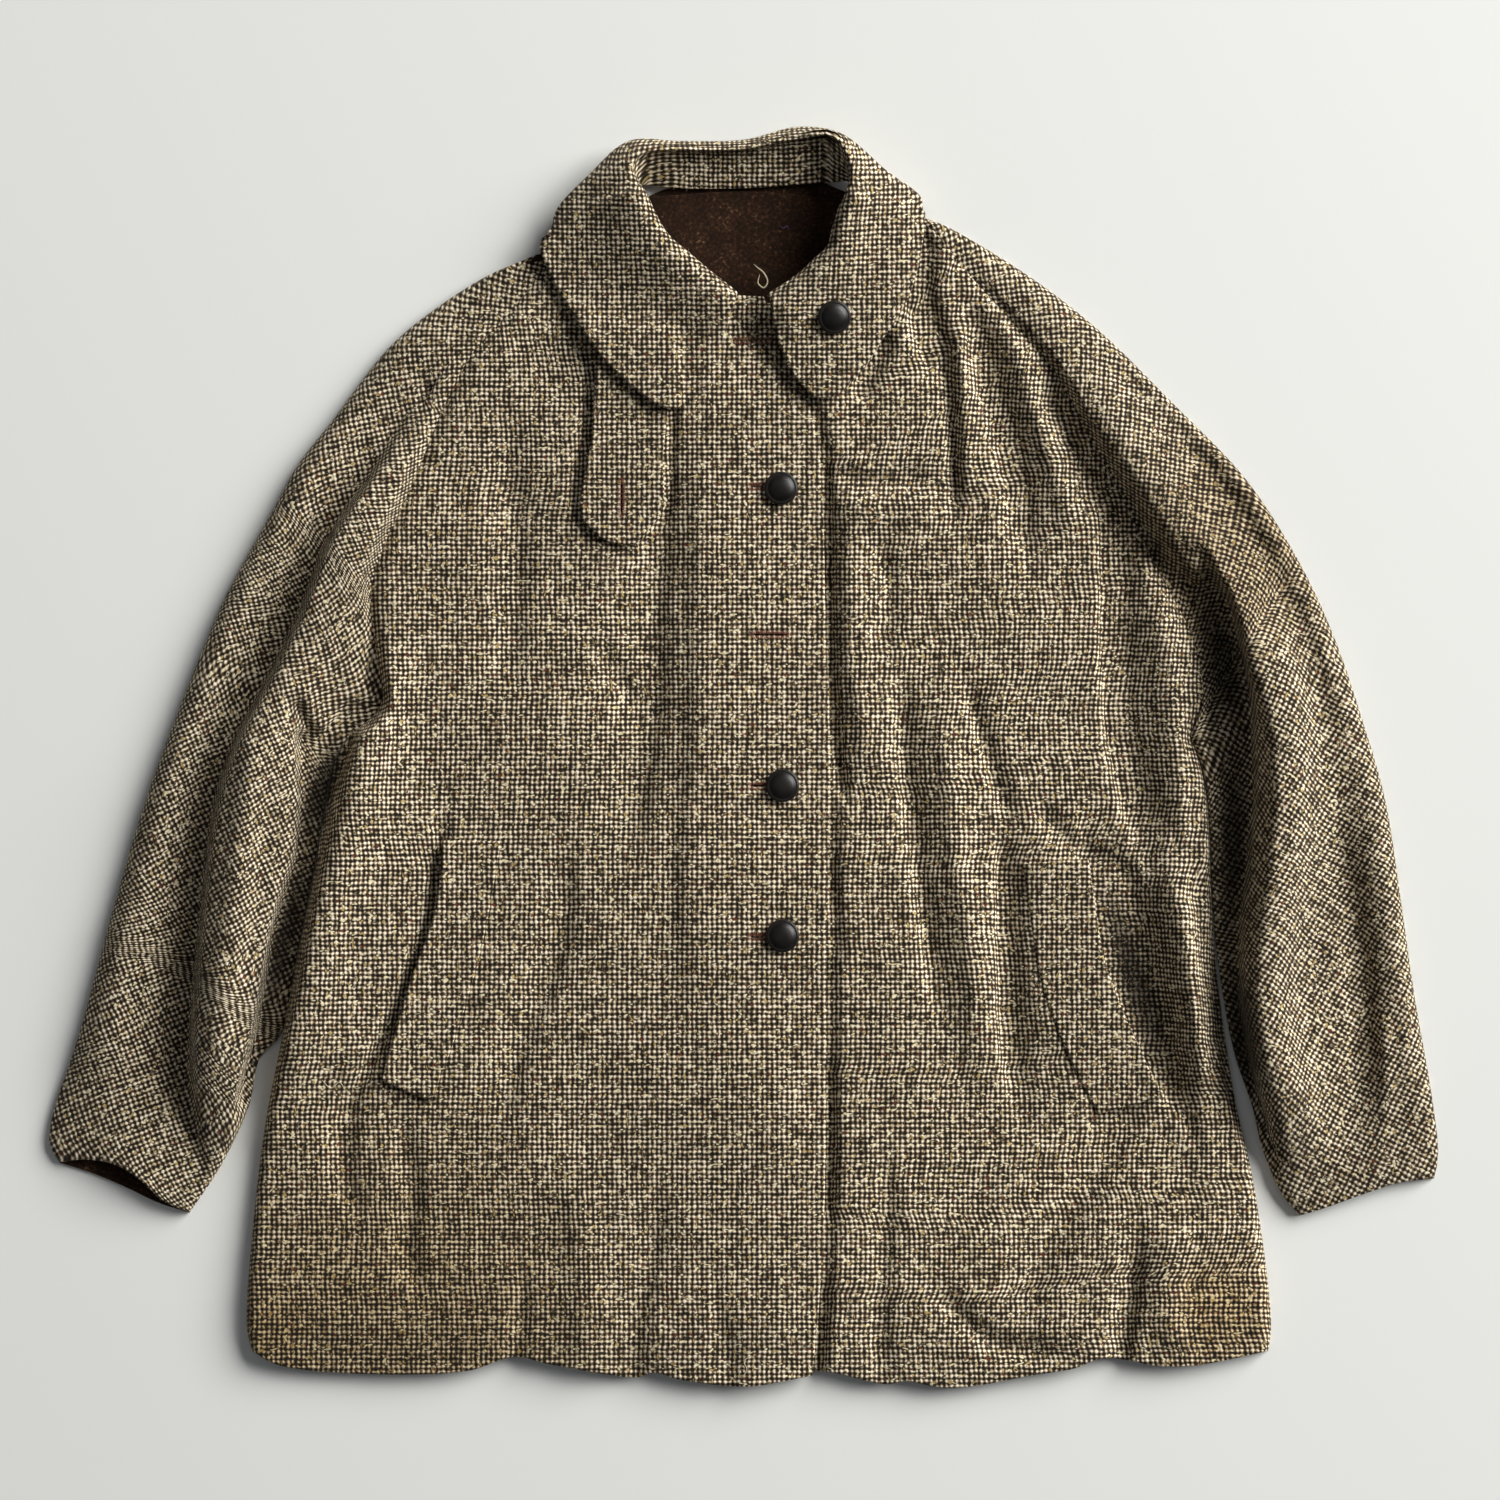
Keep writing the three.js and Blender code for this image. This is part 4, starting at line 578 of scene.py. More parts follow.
# Moulded and waxed leather: near black, fine grain, a soft broad shine
def waxedLeather(name):
    material, tree = newMaterial(name)
    place = addNode(tree, "ShaderNodeTexCoord").outputs["Object"]
    grain = addNode(tree, "ShaderNodeTexVoronoi", {"feature": "DISTANCE_TO_EDGE"},
                    {"Vector": place, "Scale": 1 / (0.9 * mm)})
    colour = ramp(tree, noise(tree, place, 130.0, 3.0)["Fac"], [(0.35, "#0d0b09"), (0.7, "#1d1915")])
    height = mapped(tree, grain.outputs["Distance"], 0, 0.12)
    return finished(material, {
        "Base Color": colour, "Roughness": 0.38, "IOR": 1.45, "Normal": bump(tree, height, 0.25, 0.08)})


# Plain yarn or thread: one dyed colour, matt, slightly hairy
def thread(name, code):
    return finished(newMaterial(name)[0], {
        "Base Color": linear(code), "Roughness": 0.85, "IOR": 1.45, "Sheen Weight": 0.2,
        "Sheen Roughness": 0.5})


# Stains and painted shade: place, half width and half length, turn in degrees, colour, strength.
# The yellow marks are stains. The dark marks deep in the armpits and in the left pocket's mouth are painted
# shade; the broad marks on the right front's lower part and on the left sleeve make the cloth darker there.
stainsAndPaintedShade = {
    # A yellow stain at the left front's lower corner, and painted shade in the left pocket's mouth beside its
    # welt
    "front_left": [((330, -385), (60, 60), 0, "#d9bd7c", 0.5), ((272, -152), (16, 92), 17, "#2e261d", 0.85)],
    "front_right": [((-335, -400), (45, 45), 0, "#dcc690", 0.4), ((-250, -420), (230, 230), 0, "#c9bda4", 0.7)],
    # Painted shade: dark marks down the gaps between each sleeve and the body
    "right_armpit_painted_shade": [((-294, -22), (16, 52), -22, "#241d16", 0.85),
                     ((-321, -128), (13, 95), -15, "#241d16", 0.85)],
    "left_armpit_painted_shade": [((335, 66), (19, 66), 13, "#241d16", 0.8), ((341, -60), (18, 105), -2, "#241d16", 0.85),
                    ((347, -195), (13, 85), 7, "#241d16", 0.85)],
    "sleeve": [((345, 150), (120, 120), 0, "#cdc3b0", 0.7)],
}
brown = feltedWool("felted_brown_wool")
bodyTweed = tweed("wool_tweed_body", 1.0)
# The sleeves' and fronts' tweed carry the painted shade of the armpits, the left front's also that of its
# pocket's mouth
sleeveTweed = tweed("wool_tweed_sleeve", 0.93,
                    stainsAndPaintedShade["right_armpit_painted_shade"] + stainsAndPaintedShade["left_armpit_painted_shade"] + stainsAndPaintedShade["sleeve"])
rightTweed = tweed("wool_tweed_front_right", 1.03, stainsAndPaintedShade["front_right"] + stainsAndPaintedShade["right_armpit_painted_shade"])
leftTweed = tweed("wool_tweed_front_left", 1.1, stainsAndPaintedShade["front_left"] + stainsAndPaintedShade["left_armpit_painted_shade"])
leather = waxedLeather("waxed_moulded_leather")
print("coat: materials made")

# The two fronts
raglanSteps, sideSteps = 12, 14     # the armpit lies at row 14 of 26
allSteps = raglanSteps + sideSteps


def rowPlaces(spacing=3.5, stepLength=31.0):
    start = edgeSteps / stepLength
    count = int(round((allSteps - 2 * start[-1]) * stepLength / spacing))
    middle = np.linspace(start[-1], allSteps - start[-1], count + 1)[1:-1]
    return np.concatenate([start, middle, allSteps - start[::-1]])


def longSide(raglan, below, places):
    low = byLength(below, np.clip((sideSteps - places) / sideSteps, 0, 1))
    high = byLength(raglan, np.clip((allSteps - places) / raglanSteps, 0, 1))
    return np.where((places <= sideSteps)[:, None], low, high)


def turnDown(inset, radius):
    left = 1 - np.clip(inset / radius, 0, 1)
    return np.sqrt(1 - left * left)


def edgeLevels(level, inset, places, radius):
    seam = soften(sideSteps - 1.5, sideSteps + 1, places)[:, None]
    turned = lay["edgeLevel"] + (level - lay["edgeLevel"]) * turnDown(inset, radius)
    seamAt = lay["seamLevel"] - lay["armpitDrop"] * soften(sideSteps + 5, sideSteps + 1, places)[:, None]
    drawn = seamAt + (level - seamAt) * soften(-2, 9, inset)
    return turned + (drawn - turned) * seam


def frontPanel(sides, centre, neck, hem, surface, onTheLeft):
    places = rowPlaces()
    outer = longSide(*sides, places)
    middle = byLength(centre, (allSteps - places) / allSteps)
    across = sharesAcross(370, 3.1)
    first, second = (middle, outer) if onTheLeft else (outer, middle)
    plan = sheetBetween(first, second, byLength(hem, across), byLength(neck, across))
    wide = np.linalg.norm(plan[:, 0] - plan[:, -1], axis=1)[:, None]
    inset = ((1 - across) if onTheLeft else across)[None] * wide
    x, y = plan[..., 0], plan[..., 1]
    level = surface(x, y) - lay["hemSettle"] * soften(40, 4, y - lay["hemPlace"])
    seed = 5 if onTheLeft else 8
    level = level + worn(x, y, (150, 52), seed)
    z = edgeLevels(level, inset, places, lay["sideRoll"])
    return np.concatenate([plan, z[..., None]], axis=2), places


placketLine = byLength(frontEdge, np.linspace(0, 1, 61))
underFrontEdge = [(x - lay["frontOverlap"], y - 4) for x, y in frontEdge]
underFrontEdge[0], underFrontEdge[-1] = leftNeck[0], leftHem[0]


def underFrontLevel(x, y):
    beyond = x - np.interp(y, placketLine[::-1, 1], placketLine[::-1, 0])
    sunk = (lay["cloth"] + 3 * lay["gap"]) * soften(12, 3, beyond)
    return np.maximum(underSurface(x, y) - sunk, lay["lowest"])


rightRows, rowsAt = frontPanel([rightRaglan, rightSide], frontEdge, rightNeck, rightHem, bodySurface, False)
leftRows, _ = frontPanel([leftRaglan, leftSide], underFrontEdge, leftNeck, leftHem, underFrontLevel, True)


# The points of a raglan seam, whose edge stands upright
def seamUpright(rows, rowsAt, column):
    chosen = np.zeros(rows.shape[:2], bool)
    chosen[rowsAt > sideSteps - 2, column] = True
    return chosen


leftPlumb = 16      # the column of the left front whose weave hangs straight
frontRight = clothPiece("tweed_front_right", rightRows, lay["cloth"], lay["edgeLevel"],
                        ("seam", "free", "free", "seam"), clothMap(rightRows, rightRows.shape[1] - 1),
                        [rightTweed, brown], seamUpright(rightRows, rowsAt, 0))
frontLeft = clothPiece("tweed_front_left", leftRows, lay["cloth"], lay["edgeLevel"],
                       ("free", "seam", "free", "seam"), clothMap(leftRows, leftPlumb),
                       [leftTweed, brown], seamUpright(leftRows, rowsAt, -1))
print("coat: fronts made")


# The back, flat on the surface, with the brown inside that the neck shows
def moved(points, aside):
    padded = np.pad(points, ((1, 1), (0, 0)), mode="edge")
    ahead = padded[2:] - padded[:-2]
    square = np.stack([-ahead[:, 1], ahead[:, 0]], axis=1)
    return points + square / np.linalg.norm(square, axis=1, keepdims=True) * aside


def flatPiece(name, first, second, lower, upper, level, thickness, materials):
    plan = sheetBetween(first, second, lower, upper)
    rows = np.concatenate([plan, np.full(plan.shape[:2] + (1,), level + thickness)], axis=2)
    half = thickness / 2
    full = fullness(rows, ("free",) * 4, half)[..., None]
    lift = np.array([0, 0, half])
    return gridPiece(name, rows - lift + lift * full, rows - lift - lift * full,
                     clothMap(rows, rows.shape[1] // 2), materials)


backAt = rowPlaces(9)
backColumns = sharesAcross(700, 9)
back = flatPiece("tweed_back", moved(longSide(rightRaglan, rightSide, backAt), -lay["gap"]),
                 moved(longSide(leftRaglan, leftSide, backAt), lay["gap"]), byLength(backHem, backColumns),
                 byLength(backNeck, backColumns), 0, lay["cloth"], [brown, bodyTweed])
innerBack = {
    "left": [(-84, 311), (-84, 345), (-66, 392)],
    "right": [(88, 311), (86, 345), (70, 390)],
    "lower": [(-84, 311), (0, 309), (88, 311)],
    "upper": [(-66, 392), (2, 396), (70, 390)],
}
innerAt = {"sides": sharesAcross(84, 4), "across": sharesAcross(160, 4)}
innerPiece = flatPiece("brown_inner_back", byLength(innerBack["left"], innerAt["sides"]),
                       byLength(innerBack["right"], innerAt["sides"]),
                       byLength(innerBack["lower"], innerAt["across"]),
                       byLength(innerBack["upper"], innerAt["across"]), lay["cloth"] + lay["gap"],
                       lay["liningCloth"], [brown])
print("coat: back made")

# The sleeves, each with a front and a back
sleeves = {
    "right": {"outer": rightSleeveOuter, "raglan": rightRaglan, "under": rightSleeveUnder, "cuff": rightCuff,
              "backCuff": rightCuffUnder, "gape": 8.5, "slant": 49, "surface": rightSleeveSurface, "seed": 21},
    "left": {"outer": leftSleeveOuter, "raglan": leftRaglan, "under": leftSleeveUnder, "cuff": leftCuff,
             "backCuff": leftCuff, "gape": 1.5, "slant": -49, "surface": leftSleeveSurface, "seed": 34},
}
cuffShape = {"level": 8.2, "reach": 3.4}


def sleeveFront(side, onTheLeft):
    own = sleeves[side]
    places = rowPlaces(3.2, 27)
    outer = byLength(own["outer"], (allSteps - places) / allSteps)
    inner = longSide(own["raglan"], own["under"], places)
    across = sharesAcross(150, 2.5)
    first, second = (inner, outer) if onTheLeft else (outer, inner)
    neckEnd = sorted([own["outer"][0], own["raglan"][0]])
    plan = sheetBetween(first, second, byLength(own["cuff"][::-1] if onTheLeft else own["cuff"], across),
                        byLength(neckEnd, across))
    wide = np.linalg.norm(plan[:, 0] - plan[:, -1], axis=1)[:, None]
    fromFirst = across[None] * wide
    outerInset, innerInset = (wide - fromFirst, fromFirst) if onTheLeft else (fromFirst, wide - fromFirst)
    x, y = plan[..., 0], plan[..., 1]
    cuffward = soften(cuffShape["reach"], 0, places)[:, None]
    mouth = cuffShape["level"] + own["gape"] * np.sin(math.pi * across[None]) ** 2
    level = own["surface"](x, y) + worn(x, y, (110, 48), own["seed"])
    level = level * (1 - cuffward) + cuffward * mouth
    z = edgeLevels(level, innerInset, places, lay["sleeveUnderRoll"])
    z = lay["edgeLevel"] + (z - lay["edgeLevel"]) * turnDown(outerInset, lay["sleeveRoll"])
    return np.concatenate([plan, z[..., None]], axis=2), places


def sleeveBack(name, side, onTheLeft):
    own = sleeves[side]
    aside = lay["gap"] if onTheLeft else -lay["gap"]
    places = rowPlaces(9, 27)
    inner = moved(longSide(own["raglan"], own["under"], places), -aside)
    outer = moved(byLength(own["outer"], (allSteps - places) / allSteps), aside)
    first, second = (inner, outer) if onTheLeft else (outer, inner)
    across = sharesAcross(150, 8)
    lower = byLength(own["backCuff"][::-1] if onTheLeft else own["backCuff"], across)
    lower[0], lower[-1] = first[0], second[0]
    upper = first[-1] + (second[-1] - first[-1]) * across[:, None]
    return flatPiece(name, first, second, lower, upper, 0, lay["cloth"], [brown, sleeveTweed])


sleevePieces = {}
for side, onTheLeft in (("right", False), ("left", True)):
    rows, rowsAt = sleeveFront(side, onTheLeft)
    seamSide = 0 if onTheLeft else -1
    edges = ("seam", "free", "free", "seam") if onTheLeft else ("free", "seam", "free", "seam")
    sleevePieces[side] = clothPiece(f"tweed_{side}_sleeve_front", rows, lay["cloth"], lay["edgeLevel"], edges,
                                    sleeveMap(rows, rows.shape[1] // 2, sleeves[side]["slant"]),
                                    [sleeveTweed, brown], seamUpright(rows, rowsAt, seamSide))
    sleevePieces[side + "Back"] = sleeveBack(f"tweed_{side}_sleeve_back", side, onTheLeft)

cuffInside = {
    "left": [(-464, -284), (-456, -244)],
    "right": [(-400, -311), (-388, -262)],
    "lower": [(-464, -284), (-450, -291), (-433, -299), (-412, -308), (-400, -311)],
    "upper": [(-456, -244), (-388, -262)],
}
insideAt = {"sides": sharesAcross(45, 4), "across": sharesAcross(70, 4)}
cuffPiece = flatPiece("brown_right_cuff_inside", byLength(cuffInside["left"], insideAt["sides"]),
                      byLength(cuffInside["right"], insideAt["sides"]),
                      byLength(cuffInside["lower"], insideAt["across"]),
                      byLength(cuffInside["upper"], insideAt["across"]), lay["cloth"] + lay["gap"],
                      lay["liningCloth"], [brown])
print("coat: sleeves made")

# What lies on the fronts: the throat tab on the right one, and a pocket welt on each
throatTab = {
    "left": [(-104, 292), (-105, 250), (-107, 222), (-112, 197), (-115, 176), (-112, 165)],
    "right": [(-52, 282), (-54, 236), (-57, 208), (-56, 183), (-60, 168), (-66, 160)],
    "tip": [(-112, 165), (-101, 154), (-83, 148), (-73, 151), (-66, 160)],
}
welts = {
    "right": {"open": [(-211, -58), (-216, -106), (-234, -158), (-254, -226)],
              "seam": [(-170, -59), (-183, -130), (-199, -187), (-219, -242)]},
    "left": {"open": [(241, -71), (253, -144), (268, -184), (293, -238)],
             "seam": [(195, -75), (209, -161), (230, -216), (248, -250)]},
}


# Lift: how loose the piece lies on the front, a single height or one for each place across
def laidPiece(name, first, second, lower, upper, materials, lift=lay["tabLift"]):
    plan = sheetBetween(first, second, lower, upper)
    z = np.maximum(laidSurface(plan[..., 0], plan[..., 1]), lay["bodyLevel"] - lay["laidDip"])
    z = z + lay["cloth"] + lay["gap"] + lift
    rows = np.concatenate([plan, z[..., None]], axis=2)
    everywhere = np.ones(rows.shape[:2], bool)
    return clothPiece(name, rows, lay["cloth"], lay["edgeLevel"], ("free",) * 4,
                      clothMap(rows, rows.shape[1] // 2), materials, everywhere)


tabAt = {"sides": sharesAcross(128, 3)[::-1], "across": sharesAcross(54, 3)}
tabPiece = laidPiece("tweed_throat_tab", byLength(throatTab["left"], tabAt["sides"]),
                     byLength(throatTab["right"], tabAt["sides"]), byLength(throatTab["tip"], tabAt["across"]),
                     byLength([throatTab["left"][0], throatTab["right"][0]], tabAt["across"]),
                     [bodyTweed, brown])
weltPieces = {}
for side, welt in welts.items():
    weltAt = {"sides": sharesAcross(178, 3)[::-1], "across": sharesAcross(42, 3)}
    lines = [byLength(welt["open"], weltAt["sides"]), byLength(welt["seam"], weltAt["sides"])]
    lines.sort(key=lambda line: line[0][0])
    share = weltAt["across"][:, None]
    lower = lines[0][0] + (lines[1][0] - lines[0][0]) * share
    upper = lines[0][-1] + (lines[1][-1] - lines[0][-1]) * share
    # flat on the front along its seam, loose at its open side
    loose = weltAt["across"] if side == "left" else 1 - weltAt["across"]
    weltPieces[side] = laidPiece(f"tweed_{side}_pocket_welt", *lines, lower, upper,
                                 [rightTweed if side == "right" else bodyTweed, brown], lay["tabLift"] * loose)
print("coat: tab and welts made")

# The collar: a row for each section, from its right front end round the neck to its left front end.
# Columns: neck seam, inner edge of the roll with the height of its top, two places on the fall, and its edge.
collarSections = [
    ((-7, 320, 16.5), (-4, 325, 25), (-15, 289, 18), (-26, 261, 17), (-47, 243, 15.5)),
    ((-13, 326, 16.5), (-10, 330, 25.5), (-33, 288, 18), (-48, 260, 17), (-62, 247, 15.5)),
    ((-27, 337, 16.5), (-24, 341, 27), (-50, 299, 18), (-66, 275, 17), (-78, 259, 15.5)),
    ((-41, 349, 16.5), (-38, 353, 30), (-69, 315, 19), (-86, 292, 17), (-98, 278, 15.5)),
    ((-55, 361, 16.5), (-52, 365, 31.5), (-86, 336, 21), (-105, 319, 17), (-118, 306, 15.5)),
    ((-64, 375, 16.5), (-61, 379, 34.5), (-98, 358, 23), (-120, 344, 17), (-134, 334, 15)),
    ((-71, 391, 16.5), (-68, 394, 37.5), (-107, 380, 24), (-130, 369, 18), (-143, 360, 15.5)),
    ((-74, 398, 13), (-74, 404, 35), (-109, 397, 25), (-133, 379, 15), (-128, 371, 2)),
    ((-72, 400, 10), (-77, 412, 34), (-96, 413, 27), (-109, 407, 15), (-102, 398, 2)),
    ((-66, 400, 7.6), (-69, 421, 31), (-76, 429, 25), (-81, 431, 14), (-76, 420, 2)),
    ((-48, 398, 7.2), (-46, 422, 27), (-45, 429, 21), (-45, 431, 12), (-45, 419, 2)),
    ((0, 398, 7.2), (0, 423, 25), (0, 430, 20), (0, 432, 12), (0, 420, 2)),
    ((34, 400, 7.2), (36, 430, 27), (38, 438, 21), (38, 441, 12), (37, 428, 2)),
    ((60, 402, 8), (61, 432, 31), (65, 437, 24), (68, 436, 14), (62, 426, 2)),
    ((74, 402, 11), (72, 415, 34), (88, 416, 26), (101, 409, 15), (94, 401, 2)),
    ((76, 396, 13.6), (73, 404, 36), (101, 400, 27), (124, 391, 15), (123, 389, 4)),
    ((74, 387, 16.5), (71, 395, 38.5), (101, 386, 25), (118, 380, 18), (127, 376, 13)),
    ((69, 376, 16.5), (66, 384, 36.5), (97, 371, 23), (114, 363, 18), (125, 357, 15)),
    ((64, 364, 16.5), (62, 371, 34.5), (92, 354, 22), (109, 344, 18), (121, 338, 15.5)),
    ((60, 352, 16.5), (58, 358, 31.5), (88, 337, 21), (104, 325, 17), (114, 319, 15.5)),
    ((52, 344, 16.5), (50, 350, 30), (77, 321, 20), (91, 304, 17), (99, 295, 15.5)),
    ((39, 332, 16.5), (37, 338, 27), (62, 303, 18.5), (76, 282, 17), (84, 272, 15.5)),
    ((26, 323, 16.5), (24, 329, 25.5), (42, 290, 18), (55, 266, 17), (65, 253, 15.5)),
    ((18, 320, 16.5), (17, 325, 25), (22, 297, 18), (34, 268, 17), (50, 251, 15.5)),
]
collarShape = {"roll": 7.0, "lift": 2.4, "overTab": 5.2, "raised": 4.5}


# The lowest that the fall can lie: on the fronts, and over the tab on the right
def collarLay(x, y):
    aside = soften(-122, -108, x) * soften(-36, -50, x) * soften(318, 300, y)
    return laidSurface(x, y) + aside * collarShape["overTab"] + lay["collarCloth"] + collarShape["lift"]


def collarRows():
    width = 530
    along = sharesAcross(width, 2.6)
    lines = [onLine([row[column] for row in collarSections], along) for column in range(5)]
    front = soften(6, 13, lines[4][:, 2])
    for line in lines:
        line[:, 2] += front * collarShape["raised"]
    across = sharesAcross(110, 1.7)
    rows = []
    for seam, roll, mid, low, edge in zip(*lines):
        outward = np.append(mid[:2] - roll[:2], 0)
        outward *= collarShape["roll"] / np.linalg.norm(outward)
        behind = soften(12, 6, edge[2])
        profile = [seam, roll - (0, 0, collarShape["roll"]), roll + outward * (1 - 0.55 * behind),
                   mid, low, edge]
        points = onLine(profile, across)
        onTheFall = soften(0.45, 0.62, across) * (1 - behind)
        points[:, 2] += onTheFall * np.maximum(collarLay(points[:, 0], points[:, 1]) - points[:, 2], 0)
        rows.append(points)
    return np.array(rows)[::-1]


collarPoints = collarRows()
collarPoints[..., 2] += uneven(collarPoints[..., 0], collarPoints[..., 1], 0.3, 70, 3)
collar = clothPiece("tweed_collar", collarPoints, lay["collarCloth"], 0.4, ("seam", "free", "free", "free"),
                    clothMap(collarPoints, collarPoints.shape[1] * 2 // 3), [bodyTweed, brown])
print("coat: collar made")

# Buttons: a low dome in a rim
buttonShape = {
    "wide": 23.0,
    "sides": 72,
    "halfHigh": 3.3,         # from the middle of a button's box to its seat
    "onCollar": (63, 308),
    "profile": [(0, 0), (0.8, 0), (0.93, 0.5), (0.985, 1.3), (1.0, 2.1), (0.985, 2.9), (0.94, 3.5),
                (0.885, 3.75), (0.83, 3.7), (0.79, 3.75), (0.7, 4.55), (0.58, 5.3), (0.42, 5.9), (0.25, 6.3),
                (0.1, 6.45), (0, 6.5)],
}


def lathe(name, profile, radius, sides, seat, axis, material):
    dense = onLine([(r * radius, z) for r, z in profile], np.linspace(0, 1, 3 * len(profile)))
    dense[0, 0] = dense[-1, 0] = 0
    turns = np.linspace(0, 2 * math.pi, sides, endpoint=False)
    ring = [(0, 0, dense[0, 1])]
    for r, z in dense[1:-1]:
        ring += [(r * math.cos(turn), r * math.sin(turn), z) for turn in turns]
    ring.append((0, 0, dense[-1, 1]))
    turned = Vector((0, 0, 1)).rotation_difference(Vector(axis)).to_matrix()
    places = [Vector(seat) + turned @ Vector(point) * mm for point in ring]
    faces = [(0, 1 + (k + 1) % sides, 1 + k) for k in range(sides)]
    bands = len(dense) - 3
    for band in range(bands):
        start = 1 + band * sides
        faces += [(start + k, start + (k + 1) % sides, start + sides + (k + 1) % sides, start + sides + k)
                  for k in range(sides)]
    last = 1 + bands * sides
    faces += [(last + k, last + (k + 1) % sides, len(ring) - 1) for k in range(sides)]
    return newPiece(name, places, faces, [material])


buttons = {}
collarNormals = normalsOf(collarPoints)
for node in ("front_button_1", "front_button_2", "front_button_3", "collar_button"):
    low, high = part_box(node)
    centre = (low + high) / 2
    axis = Vector((0, 0, 1))
    if node == "collar_button":
        aside = collarPoints[..., :2] - buttonShape["onCollar"]
        under = np.hypot(aside[..., 0], aside[..., 1]) < buttonShape["wide"] / 2
        axis = Vector(collarNormals[under].mean(0)).normalized()
    seat = centre - axis * (buttonShape["halfHigh"] * mm)
    buttons[node] = lathe("leather_" + node, buttonShape["profile"], buttonShape["wide"] / 2,
                          buttonShape["sides"], seat, axis, leather)
print("coat: buttons made")

# Buttonholes: a slit cut through the cloth, its lips bound with rust-coloured thread
buttonholes = {
    "long": 25.0,
    "wide": 1.5,
    "front": [(6, 290), (16, 188), (18, 85), (16, -20), (16, -125)],
    "tab": [(-85, 180)],
    "stitchEvery": 0.95,
    "stitchLong": 3.0,
    "stitchThick": 0.42,
    "lip": 1.7,              # from the middle of the slit to the middle of the stitches
}


def slitCutter(places, along):
    across = (-along[1], along[0])
    corners, faces = [], []
    half, lip = buttonholes["long"] / 2, buttonholes["wide"] / 2
    shape = [(-half, 0), (-half * 0.7, -lip), (half * 0.7, -lip),
             (half, 0), (half * 0.7, lip), (-half * 0.7, lip)]
    for x, y in places:
        start = len(corners)
        for z in (-30, 60):
            corners += [(x + a * along[0] + b * across[0], y + a * along[1] + b * across[1], z)
                        for a, b in shape]
        faces += [[start + k for k in (5, 4, 3, 2, 1, 0)], [start + k for k in range(6, 12)]]
        faces += [[start + k, start + (k + 1) % 6, start + 6 + (k + 1) % 6, start + 6 + k] for k in range(6)]
    spots = np.array(corners, float)
    spots[:, :2] += lay["middle"]
    return newPiece("slits", (spots * mm).tolist(), faces, smooth=False)


# Leaves a piece with the plain mesh that its modifiers make of it
def settle(piece):
    evaluated = piece.evaluated_get(bpy.context.evaluated_depsgraph_get())
    mesh = bpy.data.meshes.new_from_object(evaluated)
    piece.modifiers.clear()
    piece.data = mesh
    mesh.name = piece.name


def cutSlits(piece, places, along):
    cutter = slitCutter(places, along)
    cut = piece.modifiers.new("slits", "BOOLEAN")
    cut.operation, cut.solver, cut.object = "DIFFERENCE", "MANIFOLD", cutter
    settle(piece)
    bpy.data.objects.remove(cutter)


# The level of a piece's face under a place in plan
def faceLevel(piece, x, y):
    hit, spot, _, _ = piece.ray_cast((x * mm, y * mm, 0.2), (0, 0, -1))
    return spot[2] / mm if hit else None


# A group of geometry nodes with named inputs: its tree, what it is given, and the inputs' identifiers
def newGroup(name, inputs):
    tree = bpy.data.node_groups.new(name, "GeometryNodeTree")
    tree.interface.new_socket("Geometry", in_out="INPUT", socket_type="NodeSocketGeometry")
    sockets = {key: tree.interface.new_socket(key, in_out="INPUT", socket_type="NodeSocket" + kind).identifier
               for key, kind in inputs.items()}
    tree.interface.new_socket("Geometry", in_out="OUTPUT", socket_type="NodeSocketGeometry")
    return tree, addNode(tree, "NodeGroupInput").outputs, sockets


# Makes the copies real, gives them their material and hands them out
def handOut(tree, copies, material, smooth=False):
    real = addNode(tree, "GeometryNodeRealizeInstances", {}, {0: copies.outputs[0]})
    if smooth:
        real = addNode(tree, "GeometryNodeSetShadeSmooth", {}, {0: real.outputs[0]})
    painted = addNode(tree, "GeometryNodeSetMaterial", {}, {"Geometry": real.outputs[0], "Material": material})
    addNode(tree, "NodeGroupOutput", {}, {0: painted.outputs[0]})


# Runs a group on a piece with some values, and keeps the plain mesh
def grow(piece, tree, sockets, values):
    modifier = piece.modifiers.new(tree.name, "NODES")
    modifier.node_group = tree
    for key, value in values.items():
        modifier[sockets[key]] = value
    settle(piece)
    return piece


def randomVector(tree, low, high, seed):
    return addNode(tree, "FunctionNodeRandomValue", {"data_type": "FLOAT_VECTOR"},
                   {0: low, 1: high, "Seed": seed}).outputs[0]


